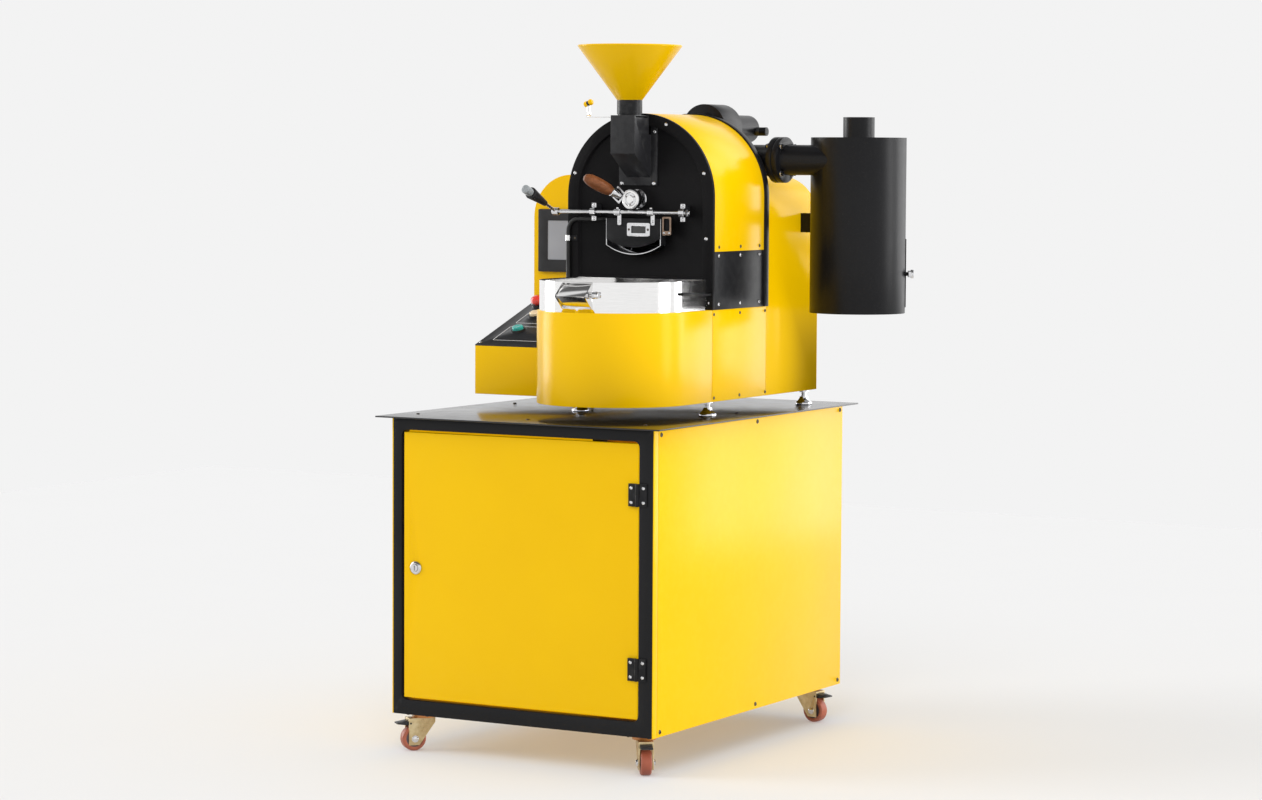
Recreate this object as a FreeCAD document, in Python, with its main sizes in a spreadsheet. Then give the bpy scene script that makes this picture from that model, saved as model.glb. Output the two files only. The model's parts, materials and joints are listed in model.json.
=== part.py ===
import FreeCAD, Part
import math
import os

import Sketcher
from FreeCAD import Placement, Rotation, Vector

doc = FreeCAD.newDocument("coffee_roaster")
sheet = doc.addObject("Spreadsheet::Sheet", "Sizes")
nodes = []
sheetRows = []


class Size:
    # A number together with the sheet formula that it comes from.

    def __init__(self, value, text):
        self.value = value
        self.text = text

    def joined(self, other, sign, value):
        return Size(value, f"({self.text} {sign} {sized(other).text})")

    def __add__(self, other):
        return self.joined(other, "+", self.value + sized(other).value)

    def __sub__(self, other):
        return self.joined(other, "-", self.value - sized(other).value)

    def __mul__(self, other):
        return self.joined(other, "*", self.value * sized(other).value)

    def __truediv__(self, other):
        return self.joined(other, "/", self.value / sized(other).value)

    def __radd__(self, other):
        return sized(other) + self

    def __rsub__(self, other):
        return sized(other) - self

    def __rmul__(self, other):
        return sized(other) * self

    def __neg__(self):
        return sized(0) - self


def sized(value):
    return value if isinstance(value, Size) else Size(float(value), repr(float(value)))


def size(alias, value):
    row = len(sheetRows) + 1
    sheetRows.append(alias)
    sheet.set(f"A{row}", alias)
    sheet.set(f"B{row}", str(value))
    sheet.setAlias(f"B{row}", alias)
    return Size(float(value), f"Sizes.{alias}")


def bind(item, prop, amount):
    item.setExpression(prop, sized(amount).text)


# The ways that a piece made along Z can be turned.
turns = {
    "z": Rotation(),
    "y": Rotation(Vector(1, 0, 0), -90),
    "x": Rotation(Vector(0, 1, 0), 90),
    "front": Rotation(Vector(1, 0, 0), 90),
    "side": Rotation(Vector(1, 1, 1), 120),
}


def put(item, x, y, z, turn=Rotation()):
    item.Placement = Placement(Vector(sized(x).value, sized(y).value, sized(z).value), turn)
    bind(item, "Placement.Base.x", x)
    bind(item, "Placement.Base.y", y)
    bind(item, "Placement.Base.z", z)
    return item


def box(x, y, z, dx, dy, dz):
    item = doc.addObject("Part::Box", "block")
    bind(item, "Length", dx)
    bind(item, "Width", dy)
    bind(item, "Height", dz)
    return put(item, x, y, z)


def rod(axis, x, y, z, radius, length):
    item = doc.addObject("Part::Cylinder", "rod")
    bind(item, "Radius", radius)
    bind(item, "Height", length)
    return put(item, x, y, z, turns[axis])


def cone(axis, x, y, z, radius1, radius2, length):
    item = doc.addObject("Part::Cone", "cone")
    bind(item, "Radius1", radius1)
    bind(item, "Radius2", radius2)
    bind(item, "Height", length)
    return put(item, x, y, z, turns[axis])


def fuse(*items):
    item = doc.addObject("Part::MultiFuse", "joined")
    item.Shapes = list(items)
    item.Refine = True
    return item


def cut(item, *tools):
    result = doc.addObject("Part::Cut", "cut")
    result.Base = item
    result.Tool = tools[0] if len(tools) == 1 else fuse(*tools)
    result.Refine = True
    return result


def common(first, second):
    item = doc.addObject("Part::MultiCommon", "shared")
    item.Shapes = [first, second]
    return item


def group(*items):
    item = doc.addObject("Part::Compound", "set")
    item.Links = list(items)
    return item


def outlineBody(points, plane):
    # A body with one closed outline, each corner held by the sheet.
    body = doc.addObject("PartDesign::Body", "body")
    sketch = body.newObject("Sketcher::SketchObject", "outline")
    sketch.AttachmentSupport = [(body.Origin.OriginFeatures[plane], "")]
    sketch.MapMode = "FlatFace"
    corners = [(sized(u), sized(v)) for u, v in points]
    count = len(corners)
    for k in range(count):
        u, v = corners[k]
        nextU, nextV = corners[(k + 1) % count]
        start = Vector(u.value, v.value, 0)
        sketch.addGeometry(Part.LineSegment(start, Vector(nextU.value, nextV.value, 0)))
    for k in range(count):
        sketch.addConstraint(Sketcher.Constraint("Coincident", k, 2, (k + 1) % count, 1))
    for k, (u, v) in enumerate(corners):
        index = sketch.addConstraint(Sketcher.Constraint("DistanceX", -1, 1, k, 1, u.value))
        bind(sketch, f"Constraints[{index}]", u)
        index = sketch.addConstraint(Sketcher.Constraint("DistanceY", -1, 1, k, 1, v.value))
        bind(sketch, f"Constraints[{index}]", v)
    return body, sketch


def turned(points):
    # A round piece about Z, from an outline of radius and height.
    body, sketch = outlineBody(points, 4)
    spin = body.newObject("PartDesign::Revolution", "turned")
    spin.Profile = sketch
    spin.ReferenceAxis = (sketch, ["V_Axis"])
    spin.Angle = 360
    return body


def prism(points, depth):
    body, sketch = outlineBody(points, 3)
    pad = body.newObject("PartDesign::Pad", "pad")
    pad.Profile = sketch
    pad.Length = sized(depth).value
    bind(pad, "Length", depth)
    return body


def frontPlate(points, y, depth):
    # An outline of x and z, from y back to y + depth.
    return put(prism(points, depth), 0, y + sized(depth), 0, turns["front"])


def sidePlate(points, x, depth):
    # An outline of y and z, from x to x + depth.
    return put(prism(points, depth), x, 0, 0, turns["side"])


def finish(item, label, x=0, y=0, z=0, turn=Rotation()):
    item.Label = label
    put(item, x - originX, y - originY, sized(z), turn)
    nodes.append(item)
    return item


# Cabinet
cabinetWidth = size("cabinet_width", 600)
cabinetDepth = size("cabinet_depth", 818)
cabinetHeight = size("cabinet_height", 597)
casterHeight = size("caster_height", 77)
panelSheet = size("panel_sheet", 2)
tubeWidth = size("frame_tube", 25)
leftPost = size("left_post", 20)
rightPost = size("right_post", 31)
topRail = size("top_rail", 24)
bottomRail = size("bottom_rail", 30)
doorGap = size("door_gap", 5)
hingeGap = size("door_hinge_gap", 3)
doorFold = size("door_fold", 18)
doorInset = size("door_inset", 2)
topPlate = size("top_plate", 3)
overhang = size("top_overhang", 25)
cabinetTop = casterHeight + cabinetHeight
deckZ = cabinetTop + topPlate

# Casters
wheelRadius = size("wheel_radius", 25)
wheelWidth = size("wheel_width", 22)
casterTrail = size("caster_trail", 23)
casterPlate = size("caster_plate", 60)
casterX = size("caster_offset_front", 255)
casterRearX = size("caster_offset_rear", 245)
casterFrontY = size("caster_front", 48)
casterRearY = size("caster_rear", 770)

# Base, bin, casing and drum
baseX = size("base_centre", 99)
baseY = size("base_curve_centre", 200)
baseRadius = size("base_radius", 157)
baseLift = size("base_lift", 30)
baseHeight = size("base_height", 184)
baseBack = size("base_back", 547)
baseFoot = deckZ + baseLift
baseTop = baseFoot + baseHeight
shell = size("shell_sheet", 2)
binX = size("bin_centre", 98)
binRadius = size("bin_radius", 151)
binHeight = size("bin_height", 60)
archX = size("drum_centre", 90)
archZ = baseTop + size("drum_lift", 223.5)
archRadius = size("arch_radius", 168)
archFront = size("arch_front", 310)
archBack = size("arch_back", 530)
flangeWidth = size("flange_width", 24)
flangeProud = size("flange_proud", 11)
frontThick = size("front_plate", 8)
wrapBottom = baseTop + size("wrap_lift", 116)
drumRadius = size("drum_radius", 130)
drumLength = size("drum_length", 190)
shaftRadius = size("drum_shaft", 10)
fit = size("running_fit", 0.05)

# Rear housing
housingLeft = baseX - baseRadius - size("console_width", 244)
housingRight = baseX + baseRadius
housingBack = size("housing_back", 780)
housingTop = baseTop + size("housing_rise", 266)
housingCorner = size("housing_corner", 90)

# Hopper
hopperX = archX - size("hopper_offset", 9)
hopperY = archFront - size("hopper_out", 27)
neckRadius = size("neck_radius", 25.4)
funnelRadius = size("funnel_radius", 104.6)
chuteTop = archZ + size("chute_lift", 159)
funnelFoot = chuteTop + size("neck_height", 35.1)
funnelTop = funnelFoot + size("funnel_height", 109.4)
funnelSheet = size("funnel_sheet", 1.5)

# Front fittings
faceShaftY = archFront - size("door_shaft_out", 15)
faceShaftZ = archZ - size("door_shaft_drop", 30.5)
faceShaftRadius = size("door_shaft_radius", 4)
mouthX = archX - size("mouth_offset", 8.5)
mouthHalf = size("mouth_half", 63)
mouthTop = faceShaftZ - size("mouth_drop", 13)
mouthFoot = mouthTop - size("mouth_tall", 72)
trierX = archX - size("trier_offset", 8)
trierZ = archZ - size("trier_drop", 4.5)
trierRadius = size("trier_radius", 10)

# Console
consoleRight = baseX - baseRadius
consoleFront = size("console_front", 312)
consoleFoot = deckZ + size("console_lift", 26)
consoleLow = consoleFoot + size("console_tall", 102)
consoleHigh = consoleLow + size("console_rise", 82)

# Blower and cyclone
blowerX = archX + size("blower_offset", 10)
blowerZ = housingTop + size("blower_lift", 98)
blowerRadius = size("blower_radius", 50)
blowerFront = baseBack + size("blower_back", 13)
blowerDepth = size("blower_depth", 77)
pipeY = blowerFront + size("pipe_back", 26)
pipeZ = housingTop + size("pipe_lift", 33.5)
pipeRadius = size("pipe_radius", 31)
cycloneX = housingRight + size("cyclone_out", 157)
cycloneY = baseBack + size("cyclone_back", 103)
cycloneRadius = size("cyclone_radius", 98)
cycloneTop = pipeZ + size("cyclone_over", 46.5)
cycloneFoot = cycloneTop - size("cyclone_height", 359)
stubRadius = size("stub_radius", 32.3)
stubHeight = size("stub_height", 41.5)

# The origin is the middle of the footprint on the floor.
half = cabinetWidth / 2
originX = (cycloneX + cycloneRadius - half - overhang) / 2
originY = cabinetDepth / 2
inner = half - panelSheet
backIn = cabinetDepth - panelSheet

# Cabinet frame
postLeftX = -inner
openLeft = leftPost - inner
openRight = inner - rightPost
openFoot = casterHeight + bottomRail
openTop = cabinetTop - topRail
posts = []
for x, y, width in (
    (postLeftX, sized(0), leftPost),
    (openRight, sized(0), rightPost),
    (postLeftX, backIn - tubeWidth, tubeWidth),
    (inner - tubeWidth, backIn - tubeWidth, tubeWidth),
):
    posts.append(box(x, y, casterHeight, width, tubeWidth, cabinetHeight))
rails = [
    box(openLeft, 0, openTop, openRight - openLeft, tubeWidth, topRail),
    box(openLeft, 0, casterHeight, openRight - openLeft, tubeWidth, bottomRail),
]
for z in (casterHeight, cabinetTop - tubeWidth):
    rails.append(box(-inner, tubeWidth, z, tubeWidth, backIn - 2 * tubeWidth, tubeWidth))
    rails.append(box(inner - tubeWidth, tubeWidth, z, tubeWidth, backIn - 2 * tubeWidth, tubeWidth))
    rails.append(
        box(tubeWidth - inner, backIn - tubeWidth, z, 2 * (inner - tubeWidth), tubeWidth, tubeWidth)
    )
finish(fuse(*posts, *rails), "cabinet_frame")

# Cabinet sheets: both sides, the back and the shelf inside
finish(
    group(
        box(-half, 0, casterHeight, panelSheet, cabinetDepth, cabinetHeight),
        box(inner, 0, casterHeight, panelSheet, cabinetDepth, cabinetHeight),
        box(-inner, backIn, casterHeight, 2 * inner, panelSheet, cabinetHeight),
        box(
            -inner,
            tubeWidth,
            casterHeight + tubeWidth,
            2 * inner,
            backIn - 2 * tubeWidth,
            panelSheet,
        ),
    ),
    "cabinet_panels",
)
finish(
    group(
        box(
            -half - overhang,
            -overhang,
            cabinetTop,
            cabinetWidth + 2 * overhang,
            cabinetDepth + 2 * overhang,
            topPlate,
        )
    ),
    "cabinet_top_plate",
)

# Cabinet door, a folded pan with a bore for the lock
doorLeft = openLeft + doorGap
doorRight = openRight - hingeGap
doorFoot = openFoot + doorGap
doorTop = openTop - doorGap
lockX = doorLeft + size("lock_inset", 28)
lockZ = size("lock_height", 374)
lockBody = size("lock_body", 9.5)
lockPlug = size("lock_plug", 7)
lockFlange = size("lock_flange", 14)
lockProud = size("lock_proud", 5)
finish(
    cut(
        box(doorLeft, doorInset, doorFoot, doorRight - doorLeft, doorFold, doorTop - doorFoot),
        box(
            doorLeft + panelSheet,
            doorInset + panelSheet,
            doorFoot + panelSheet,
            doorRight - doorLeft - 2 * panelSheet,
            doorFold,
            doorTop - doorFoot - 2 * panelSheet,
        ),
        rod("y", lockX, 0, lockZ, lockBody, doorFold),
    ),
    "cabinet_door",
)

# Surface hinges with the pin on the frame side
hingeX = doorRight + hingeGap / 2
hingeY = -size("hinge_thick", 4)
hingeThick = -hingeY
hingeRadius = hingeThick
hingePin = size("hinge_pin", 2)
hingeLeaf = size("hinge_leaf", 20)
hingeTall = size("hinge_tall", 44)
hingeClear = size("hinge_clear", 0.3)
hingeZ = (size("hinge_low", 209), size("hinge_high", 547))
frameLeaves = []
doorLeaves = []
for z in hingeZ:
    foot = z - hingeTall / 2
    reach = hingeRadius + hingeClear
    frameLeaves.append(
        fuse(
            box(hingeX + reach, hingeY, foot, hingeLeaf - reach, hingeThick, hingeTall),
            box(hingeX, hingeY, foot, reach, hingeThick, hingeTall / 2),
            rod("z", hingeX, hingeY, foot, hingeRadius, hingeTall / 2),
            rod("z", hingeX, hingeY, foot, hingePin, hingeTall - 1),
        )
    )
    upper = z + fit
    tall = hingeTall / 2 - fit
    doorLeaves.append(
        cut(
            fuse(
                box(
                    hingeX - hingeLeaf,
                    hingeY,
                    foot,
                    hingeLeaf - reach,
                    hingeThick + doorInset,
                    hingeTall,
                ),
                box(hingeX - reach, hingeY, upper, reach, hingeThick, tall),
                rod("z", hingeX, hingeY, upper, hingeRadius, tall),
            ),
            rod("z", hingeX, hingeY, foot, hingePin + fit, hingeTall - 1 + fit),
        )
    )
finish(group(*frameLeaves), "hinge_frame_leaves")
finish(group(*doorLeaves), "hinge_door_leaves")

# Cam lock in the door
lockDepth = tubeWidth + 1
finish(
    cut(
        fuse(
            rod("y", lockX, doorInset - lockProud, lockZ, lockFlange, lockProud),
            rod("y", lockX, doorInset, lockZ, lockBody, lockDepth - doorInset),
        ),
        rod("y", lockX, -lockFlange, lockZ, lockPlug + fit, lockDepth + 2 * lockFlange),
    ),
    "lock_barrel",
)
camLength = size("cam_length", 45)
camWidth = size("cam_width", 12)
finish(
    cut(
        fuse(
            rod(
                "y",
                lockX,
                doorInset - lockProud - 1,
                lockZ,
                lockPlug,
                lockDepth + lockProud + 1 + fit,
            ),
            box(
                lockX - camWidth / 2,
                lockDepth + fit,
                lockZ - camLength,
                camWidth,
                panelSheet,
                camLength + camWidth / 2,
            ),
        ),
        box(lockX - 1, doorInset - lockProud - 3, lockZ - 5, 2, 6, 10),
    ),
    "lock_plug",
)

# Domed screws of the cabinet
screwRadius = size("screw_radius", 5)
screwProud = size("screw_proud", 2.5)
screwEdge = size("screw_edge", 14)
screws = []
for y in (tubeWidth, cabinetDepth / 2, cabinetDepth - tubeWidth):
    for z in (casterHeight + screwEdge, cabinetTop - screwEdge):
        screws.append(cone("x", half, y, z, screwRadius, screwRadius / 2, screwProud))
        screws.append(cone("x", -half - screwProud, y, z, screwRadius / 2, screwRadius, screwProud))
for x in (-half + 2 * tubeWidth, sized(0), half - 2 * tubeWidth):
    for y in (cabinetDepth / 2, 2 * tubeWidth):
        if x.value != 0 or y.value < 100:
            screws.append(cone("z", x, y, deckZ, screwRadius, screwRadius / 2, screwProud))
finish(group(*screws), "panel_screws")

# Casters. Each is drawn about its swivel line, with the wheel trailing along X.
plateThick = size("caster_plate_sheet", 3)
bearingRadius = size("bearing_disc", 24)
bearingThick = size("bearing_thick", 7)
forkSheet = size("fork_sheet", 3)
forkGap = size("fork_gap", 1)
spindle = size("spindle_radius", 6)
axleRadius = size("axle_radius", 5)
crownTop = casterHeight - plateThick - bearingThick - fit
crownFoot = crownTop - size("crown_thick", 5)
forkHalf = wheelWidth / 2 + forkGap + forkSheet
pedalX = casterTrail + size("pedal_offset", 9)
pedalZ = crownFoot - size("pedal_drop", 5.5)
pedalPin = size("pedal_pin", 2)
casters = (
    (-casterX, casterFrontY, 230),
    (casterX, casterFrontY, 305),
    (-casterRearX, casterRearY, 140),
    (casterRearX, casterRearY, 350),
)
plates = []
for x, y, angle in casters:
    plate = cut(
        fuse(
            box(
                x - casterPlate / 2,
                y - casterPlate / 2,
                casterHeight - plateThick,
                casterPlate,
                casterPlate,
                plateThick,
            ),
            rod("z", x, y, casterHeight - plateThick - bearingThick, bearingRadius, bearingThick),
        ),
        rod("z", x, y, crownFoot, spindle + fit, casterHeight - 1 - crownFoot),
    )
    plates.append(plate)
finish(group(*plates), "caster_plates")

legs = [
    (-bearingRadius * 0.8, crownTop),
    (-bearingRadius * 0.8, crownFoot - 4),
    (casterTrail - 9, axleRadius * 4 - 8),
    (casterTrail + 13, axleRadius * 4 - 8),
    (casterTrail + 13, crownTop),
]
for number, (x, y, angle) in enumerate(casters, 1):
    spin = Rotation(Vector(0, 0, 1), angle)
    fork = fuse(
        cut(
            frontPlate(legs, -forkHalf, 2 * forkHalf),
            box(
                -bearingRadius,
                forkSheet - forkHalf,
                0,
                bearingRadius + casterTrail * 2,
                2 * (forkHalf - forkSheet),
                crownFoot,
            ),
            rod("y", pedalX, -forkHalf, pedalZ, pedalPin + fit, 2 * forkHalf),
        ),
        rod("z", 0, 0, crownFoot, spindle, casterHeight - 2 - crownFoot),
        rod("y", casterTrail, -forkHalf - 2, wheelRadius, axleRadius, 2 * forkHalf + 4),
    )
    finish(fork, f"caster_fork_{number}", x, y, 0, spin)
    wheel = turned(
        [
            (axleRadius + fit, -wheelWidth / 2),
            (wheelRadius * 0.6, -wheelWidth / 2),
            (wheelRadius * 0.64, 2 - wheelWidth / 2),
            (wheelRadius * 0.78, 2 - wheelWidth / 2),
            (wheelRadius * 0.84, -wheelWidth / 2),
            (wheelRadius * 0.94, 0.6 - wheelWidth / 2),
            (wheelRadius, 3 - wheelWidth / 2),
            (wheelRadius, wheelWidth / 2 - 3),
            (wheelRadius * 0.94, wheelWidth / 2 - 0.6),
            (wheelRadius * 0.84, wheelWidth / 2),
            (wheelRadius * 0.78, wheelWidth / 2 - 2),
            (wheelRadius * 0.64, wheelWidth / 2 - 2),
            (wheelRadius * 0.6, wheelWidth / 2),
            (axleRadius + fit, wheelWidth / 2),
        ]
    )
    put(wheel, casterTrail, 0, wheelRadius, turns["y"])
    finish(group(wheel), f"caster_wheel_{number}", x, y, 0, spin)
    pedalHalf = forkHalf - forkSheet - 0.5
    blade = frontPlate(
        [
            (pedalX - 5, pedalZ + 4),
            (pedalX - 4, pedalZ - 3),
            (pedalX + 4, pedalZ - 4),
            (pedalX + 27, pedalZ - 1),
            (pedalX + 27, pedalZ + 1.5),
            (pedalX + 5, pedalZ + 5),
        ],
        -pedalHalf,
        2 * pedalHalf,
    )
    pin = rod("y", pedalX, -forkHalf, pedalZ, pedalPin, 2 * forkHalf)
    finish(fuse(blade, pin), f"caster_pedal_{number}", x, y, 0, spin)

# Base with the round front, open at the top under a deck


def rounded(x, y, radius, back, z, tall):
    # A plan with a half round front and straight sides to the back.
    return cut(
        fuse(
            rod("z", x, y, z, radius, tall),
            box(x - radius, y, z, 2 * radius, back - y, tall),
        ),
        box(x - radius * 2, back, z - 1, 4 * radius, 2 * radius, tall + 2),
    )


stirRadius = size("stir_shaft", 8)
finish(
    group(
        cut(
            rounded(baseX, baseY, baseRadius, baseBack, baseFoot + shell, baseHeight - shell),
            rounded(
                baseX,
                baseY,
                baseRadius - shell,
                baseBack + 1,
                baseFoot,
                baseHeight - shell,
            ),
            rod("z", baseX, baseY, baseTop - 2 * shell, stirRadius + 1, 4 * shell),
        ),
        rounded(baseX, baseY, baseRadius, baseBack, baseFoot, shell),
    ),
    "base_panels",
)
feet = []
footAhead = size("foot_ahead", 40)
footInset = size("foot_inset", 24)
for x, y in (
    (baseX - baseRadius + size("foot_left", 11), baseY + size("foot_behind_left", 110)),
    (housingRight - footInset, baseY + size("foot_behind", 140)),
    (housingLeft + footInset + 6, housingBack - footAhead),
    (housingRight - size("foot_inset_rear", 9), housingBack - footAhead),
):
    feet.append(
        fuse(
            rod("z", x, y, deckZ, 18, 10),
            rod("z", x, y, deckZ + 10, 6, baseLift - 14),
            rod("z", x, y, baseFoot - 4, 11, 4),
        )
    )
finish(group(*feet), "levelling_feet")

# Rear housing


def housing(inset, y, depth, foot):
    left = housingLeft + inset
    right = housingRight - inset
    top = housingTop - inset
    corner = housingCorner - inset
    return fuse(
        box(left, y, foot, right - left, depth, top - corner - foot),
        box(left + corner, y, top - corner, right - left - 2 * corner, depth, corner),
        rod("y", left + corner, y, top - corner, corner, depth),
        rod("y", right - corner, y, top - corner, corner, depth),
    )


louvres = []
for k in range(8):
    z = baseFoot + 90 + 22 * k
    louvres.append(box(housingLeft + 90, housingBack - 1, z, 120, 4, 6))
    louvres.append(box(housingRight - 210, housingBack - 1, z, 120, 4, 6))
finish(
    group(
        cut(
            housing(0, baseBack, housingBack - baseBack, baseFoot),
            housing(shell, baseBack + shell, housingBack - baseBack, baseFoot + shell),
            rod("y", archX, baseBack - 1, archZ, shaftRadius + 1, 10),
            rod("z", blowerX, pipeY, housingTop - 5, 20, 10),
        ),
        cut(housing(0, housingBack, shell, baseFoot), *louvres),
    ),
    "rear_housing",
)

# Drum casing


def arch(radius, y, depth, foot):
    return fuse(
        box(archX - radius, y, foot, 2 * radius, depth, archZ - foot),
        rod("y", archX, y, archZ, radius, depth),
    )


wrapInner = archRadius - shell
wrapFront = archFront + size("flange_edge", 8)
finish(
    cut(
        arch(archRadius, wrapFront, archBack - wrapFront, wrapBottom),
        arch(wrapInner, wrapFront - 1, archBack - wrapFront + 2, baseTop),
        box(
            archX - archRadius - 1,
            wrapFront - 1,
            baseTop,
            2 * archRadius + 2,
            archBack - wrapFront + 2,
            wrapBottom - baseTop,
        ),
    ),
    "arch_wrap",
)
faceY = archFront + flangeProud
faceBack = faceY + frontThick
recess = archRadius - flangeWidth
recessFoot = baseTop + size("recess_lift", 64)
mouthBend = size("mouth_bend", 19)
mouthWall = size("mouth_wall", 3)


def mouth(inset, y, depth, top):
    # A bowl shape: straight sides above a shallow round bottom.
    reach = mouthHalf - inset
    bend = mouthFoot + mouthBend
    low = mouthFoot + inset
    return frontPlate(
        [
            (mouthX - reach, top),
            (mouthX - reach, bend),
            (mouthX - reach * 0.86, bend - (bend - low) * 0.46),
            (mouthX - reach * 0.5, low + (bend - low) * 0.14),
            (mouthX - reach * 0.17, low),
            (mouthX + reach * 0.17, low),
            (mouthX + reach * 0.5, low + (bend - low) * 0.14),
            (mouthX + reach * 0.86, bend - (bend - low) * 0.46),
            (mouthX + reach, bend),
            (mouthX + reach, top),
        ],
        y,
        depth,
    )


inletHalf = size("inlet_half", 25.5)
inletX = hopperX + size("inlet_offset", 1.5)
inletFoot = chuteTop - size("inlet_drop", 135.5)
inletTall = size("inlet_tall", 60)
chuteFootZ = inletFoot + 14
chuteEaveZ = inletFoot + 102
finish(
    cut(
        fuse(
            arch(archRadius, archFront, wrapFront - archFront, baseTop),
            arch(wrapInner, wrapFront, faceBack - wrapFront, baseTop),
        ),
        arch(recess, archFront - 1, flangeProud + 1, recessFoot),
        mouth(mouthWall, faceY - 1, frontThick + 2, mouthTop - mouthWall),
        rod("y", trierX, faceY - 1, trierZ, trierRadius + 1, frontThick + 2),
        box(inletX - inletHalf, faceY - 1, inletFoot + 22, 2 * inletHalf, frontThick + 2, inletTall),
    ),
    "front_plate",
)
rimOver = size("rear_rim_over", 3)
bearingOuter = size("bearing_outer", 26)
finish(
    cut(
        arch(archRadius + rimOver, archBack, baseBack - archBack, baseTop),
        rod("y", archX, archBack - 1, archZ, bearingOuter, baseBack - archBack + 2),
    ),
    "drum_rear_plate",
)
finish(
    group(
        box(
            archX + wrapInner,
            wrapFront,
            baseTop,
            shell,
            archBack - wrapFront,
            wrapBottom - baseTop,
        ),
        box(
            archX - archRadius,
            wrapFront,
            baseTop,
            shell,
            archBack - wrapFront,
            wrapBottom - baseTop,
        ),
    ),
    "side_access_panels",
)

# Drum on its shaft, with four lifting vanes
drumFront = faceBack + 2
drumBack = drumFront + drumLength
drumWall = size("drum_wall", 2)
vaneTall = size("vane_tall", 24)
vanes = []
for k in range(4):
    vane = box(-drumWall / 2, drumFront + 14, -drumRadius + 1, drumWall, drumLength - 30, vaneTall)
    holder = group(vane)
    put(holder, archX, 0, archZ, Rotation(Vector(0, 1, 0), 90 * k + 20))
    vanes.append(holder)
drumShell = turned(
    [
        (0, drumLength - 4),
        (drumRadius - drumWall, drumLength - 4),
        (drumRadius - drumWall, 8),
        (drumRadius - drumWall - 14, 3),
        (drumRadius - drumWall - 14, 0),
        (drumRadius, 0),
        (drumRadius, drumLength),
        (shaftRadius * 2, drumLength),
        (shaftRadius * 2, drumLength + 3),
        (shaftRadius, drumLength + 3),
        (shaftRadius, drumLength + 121),
        (0, drumLength + 121),
    ]
)
put(drumShell, archX, drumFront, archZ, turns["y"])
finish(fuse(drumShell, *vanes), "drum")

bearingBack = baseBack + shell
bearingLong = size("bearing_long", 20)
finish(
    group(
        cut(
            rod("y", archX, archBack, archZ, bearingOuter, baseBack - archBack),
            rod("y", archX, archBack - 1, archZ, shaftRadius + fit, baseBack - archBack + 2),
        ),
        cut(
            rod("y", archX, bearingBack, archZ, 32, bearingLong),
            rod("y", archX, bearingBack - 1, archZ, shaftRadius + fit, bearingLong + 2),
        ),
    ),
    "drum_bearings",
)
gearFront = bearingBack + bearingLong
drumGear = cut(
    fuse(
        box(archX - 45, gearFront, archZ - 58, 90, 80, 96),
        rod("y", archX, gearFront + 80, archZ - 12, 36, 110),
    ),
    rod("y", archX, gearFront - 1, archZ, shaftRadius + fit, drumBack + 122 - gearFront),
)
stirFoot = baseTop - shell - 60
stirGear = cut(
    fuse(
        box(baseX - 45, baseY - 45, stirFoot, 90, 90, 60),
        rod("z", baseX, baseY, stirFoot - 90, 34, 90),
    ),
    rod("z", baseX, baseY, stirFoot + 4, stirRadius + fit, 60),
)
finish(group(drumGear, stirGear), "gearmotors")

# Electric tubes under and beside the drum
tubes = []
tubeRadius = size("heater_tube", 4)
tubeRing = drumRadius + 18
for k in range(9):
    angle = math.radians(180 + 22.5 * k)
    tubes.append(
        rod(
            "y",
            archX + tubeRing * round(math.cos(angle), 4),
            faceBack + 6,
            archZ + tubeRing * round(math.sin(angle), 4),
            tubeRadius,
            archBack - faceBack - 6,
        )
    )
finish(group(*tubes), "heater")

# Hopper funnel, inlet chute with its neck, and the slide gate between them
sleeve = neckRadius - funnelSheet
collarFoot = chuteTop + 6.5
funnel = turned(
    [
        (sleeve, collarFoot),
        (neckRadius, collarFoot),
        (neckRadius, funnelFoot),
        (funnelRadius, funnelTop - 3),
        (funnelRadius, funnelTop),
        (funnelRadius - 3, funnelTop),
        (funnelRadius - 3, funnelTop - 2),
        (sleeve, funnelFoot + 1),
    ]
)
put(funnel, hopperX, hopperY, 0)
finish(group(funnel), "hopper_funnel")

chuteWide = size("chute_width", 55)
chuteLeft = inletX - chuteWide / 2
chuteFront = hopperY - size("chute_ahead", 31)
chuteBend = chuteTop - size("chute_straight", 72)
gateSlot = size("gate_slot", 2.5)
gateFit = size("gate_fit", 0.05)
chuteShell = cut(
    fuse(
        sidePlate(
            [
                (chuteFront, chuteTop),
                (chuteFront, chuteBend),
                (faceY, chuteFootZ),
                (faceY, chuteEaveZ),
                (archFront, chuteEaveZ),
                (archFront, chuteTop),
            ],
            chuteLeft,
            chuteWide,
        ),
        box(chuteLeft - 18, faceY - 3, inletFoot, chuteWide + 33, 3, chuteEaveZ - inletFoot),
        box(chuteLeft, chuteFront, chuteTop, chuteWide, 5, gateSlot),
        box(chuteLeft, archFront - 5, chuteTop, chuteWide, 5, gateSlot),
        box(chuteLeft, chuteFront, chuteTop + gateSlot, chuteWide, archFront - chuteFront, 2),
        rod("z", hopperX, hopperY, chuteTop + gateSlot, sleeve, 24),
    ),
    sidePlate(
        [
            (chuteFront + 2, chuteTop + 1),
            (chuteFront + 2, chuteBend + 1.5),
            (faceY + 1, chuteFootZ + 3),
            (faceY + 1, chuteEaveZ - 14),
            (archFront - 2, chuteEaveZ - 14),
            (archFront - 2, chuteTop + 1),
        ],
        chuteLeft + 2,
        chuteWide - 4,
    ),
    rod("z", hopperX, hopperY, chuteTop + 0.5, sleeve - funnelSheet, 30),
)
gateLow = chuteTop + gateFit
gateThick = gateSlot - 2 * gateFit
slotFront = chuteFront + 5
slotBack = archFront - 5
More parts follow.
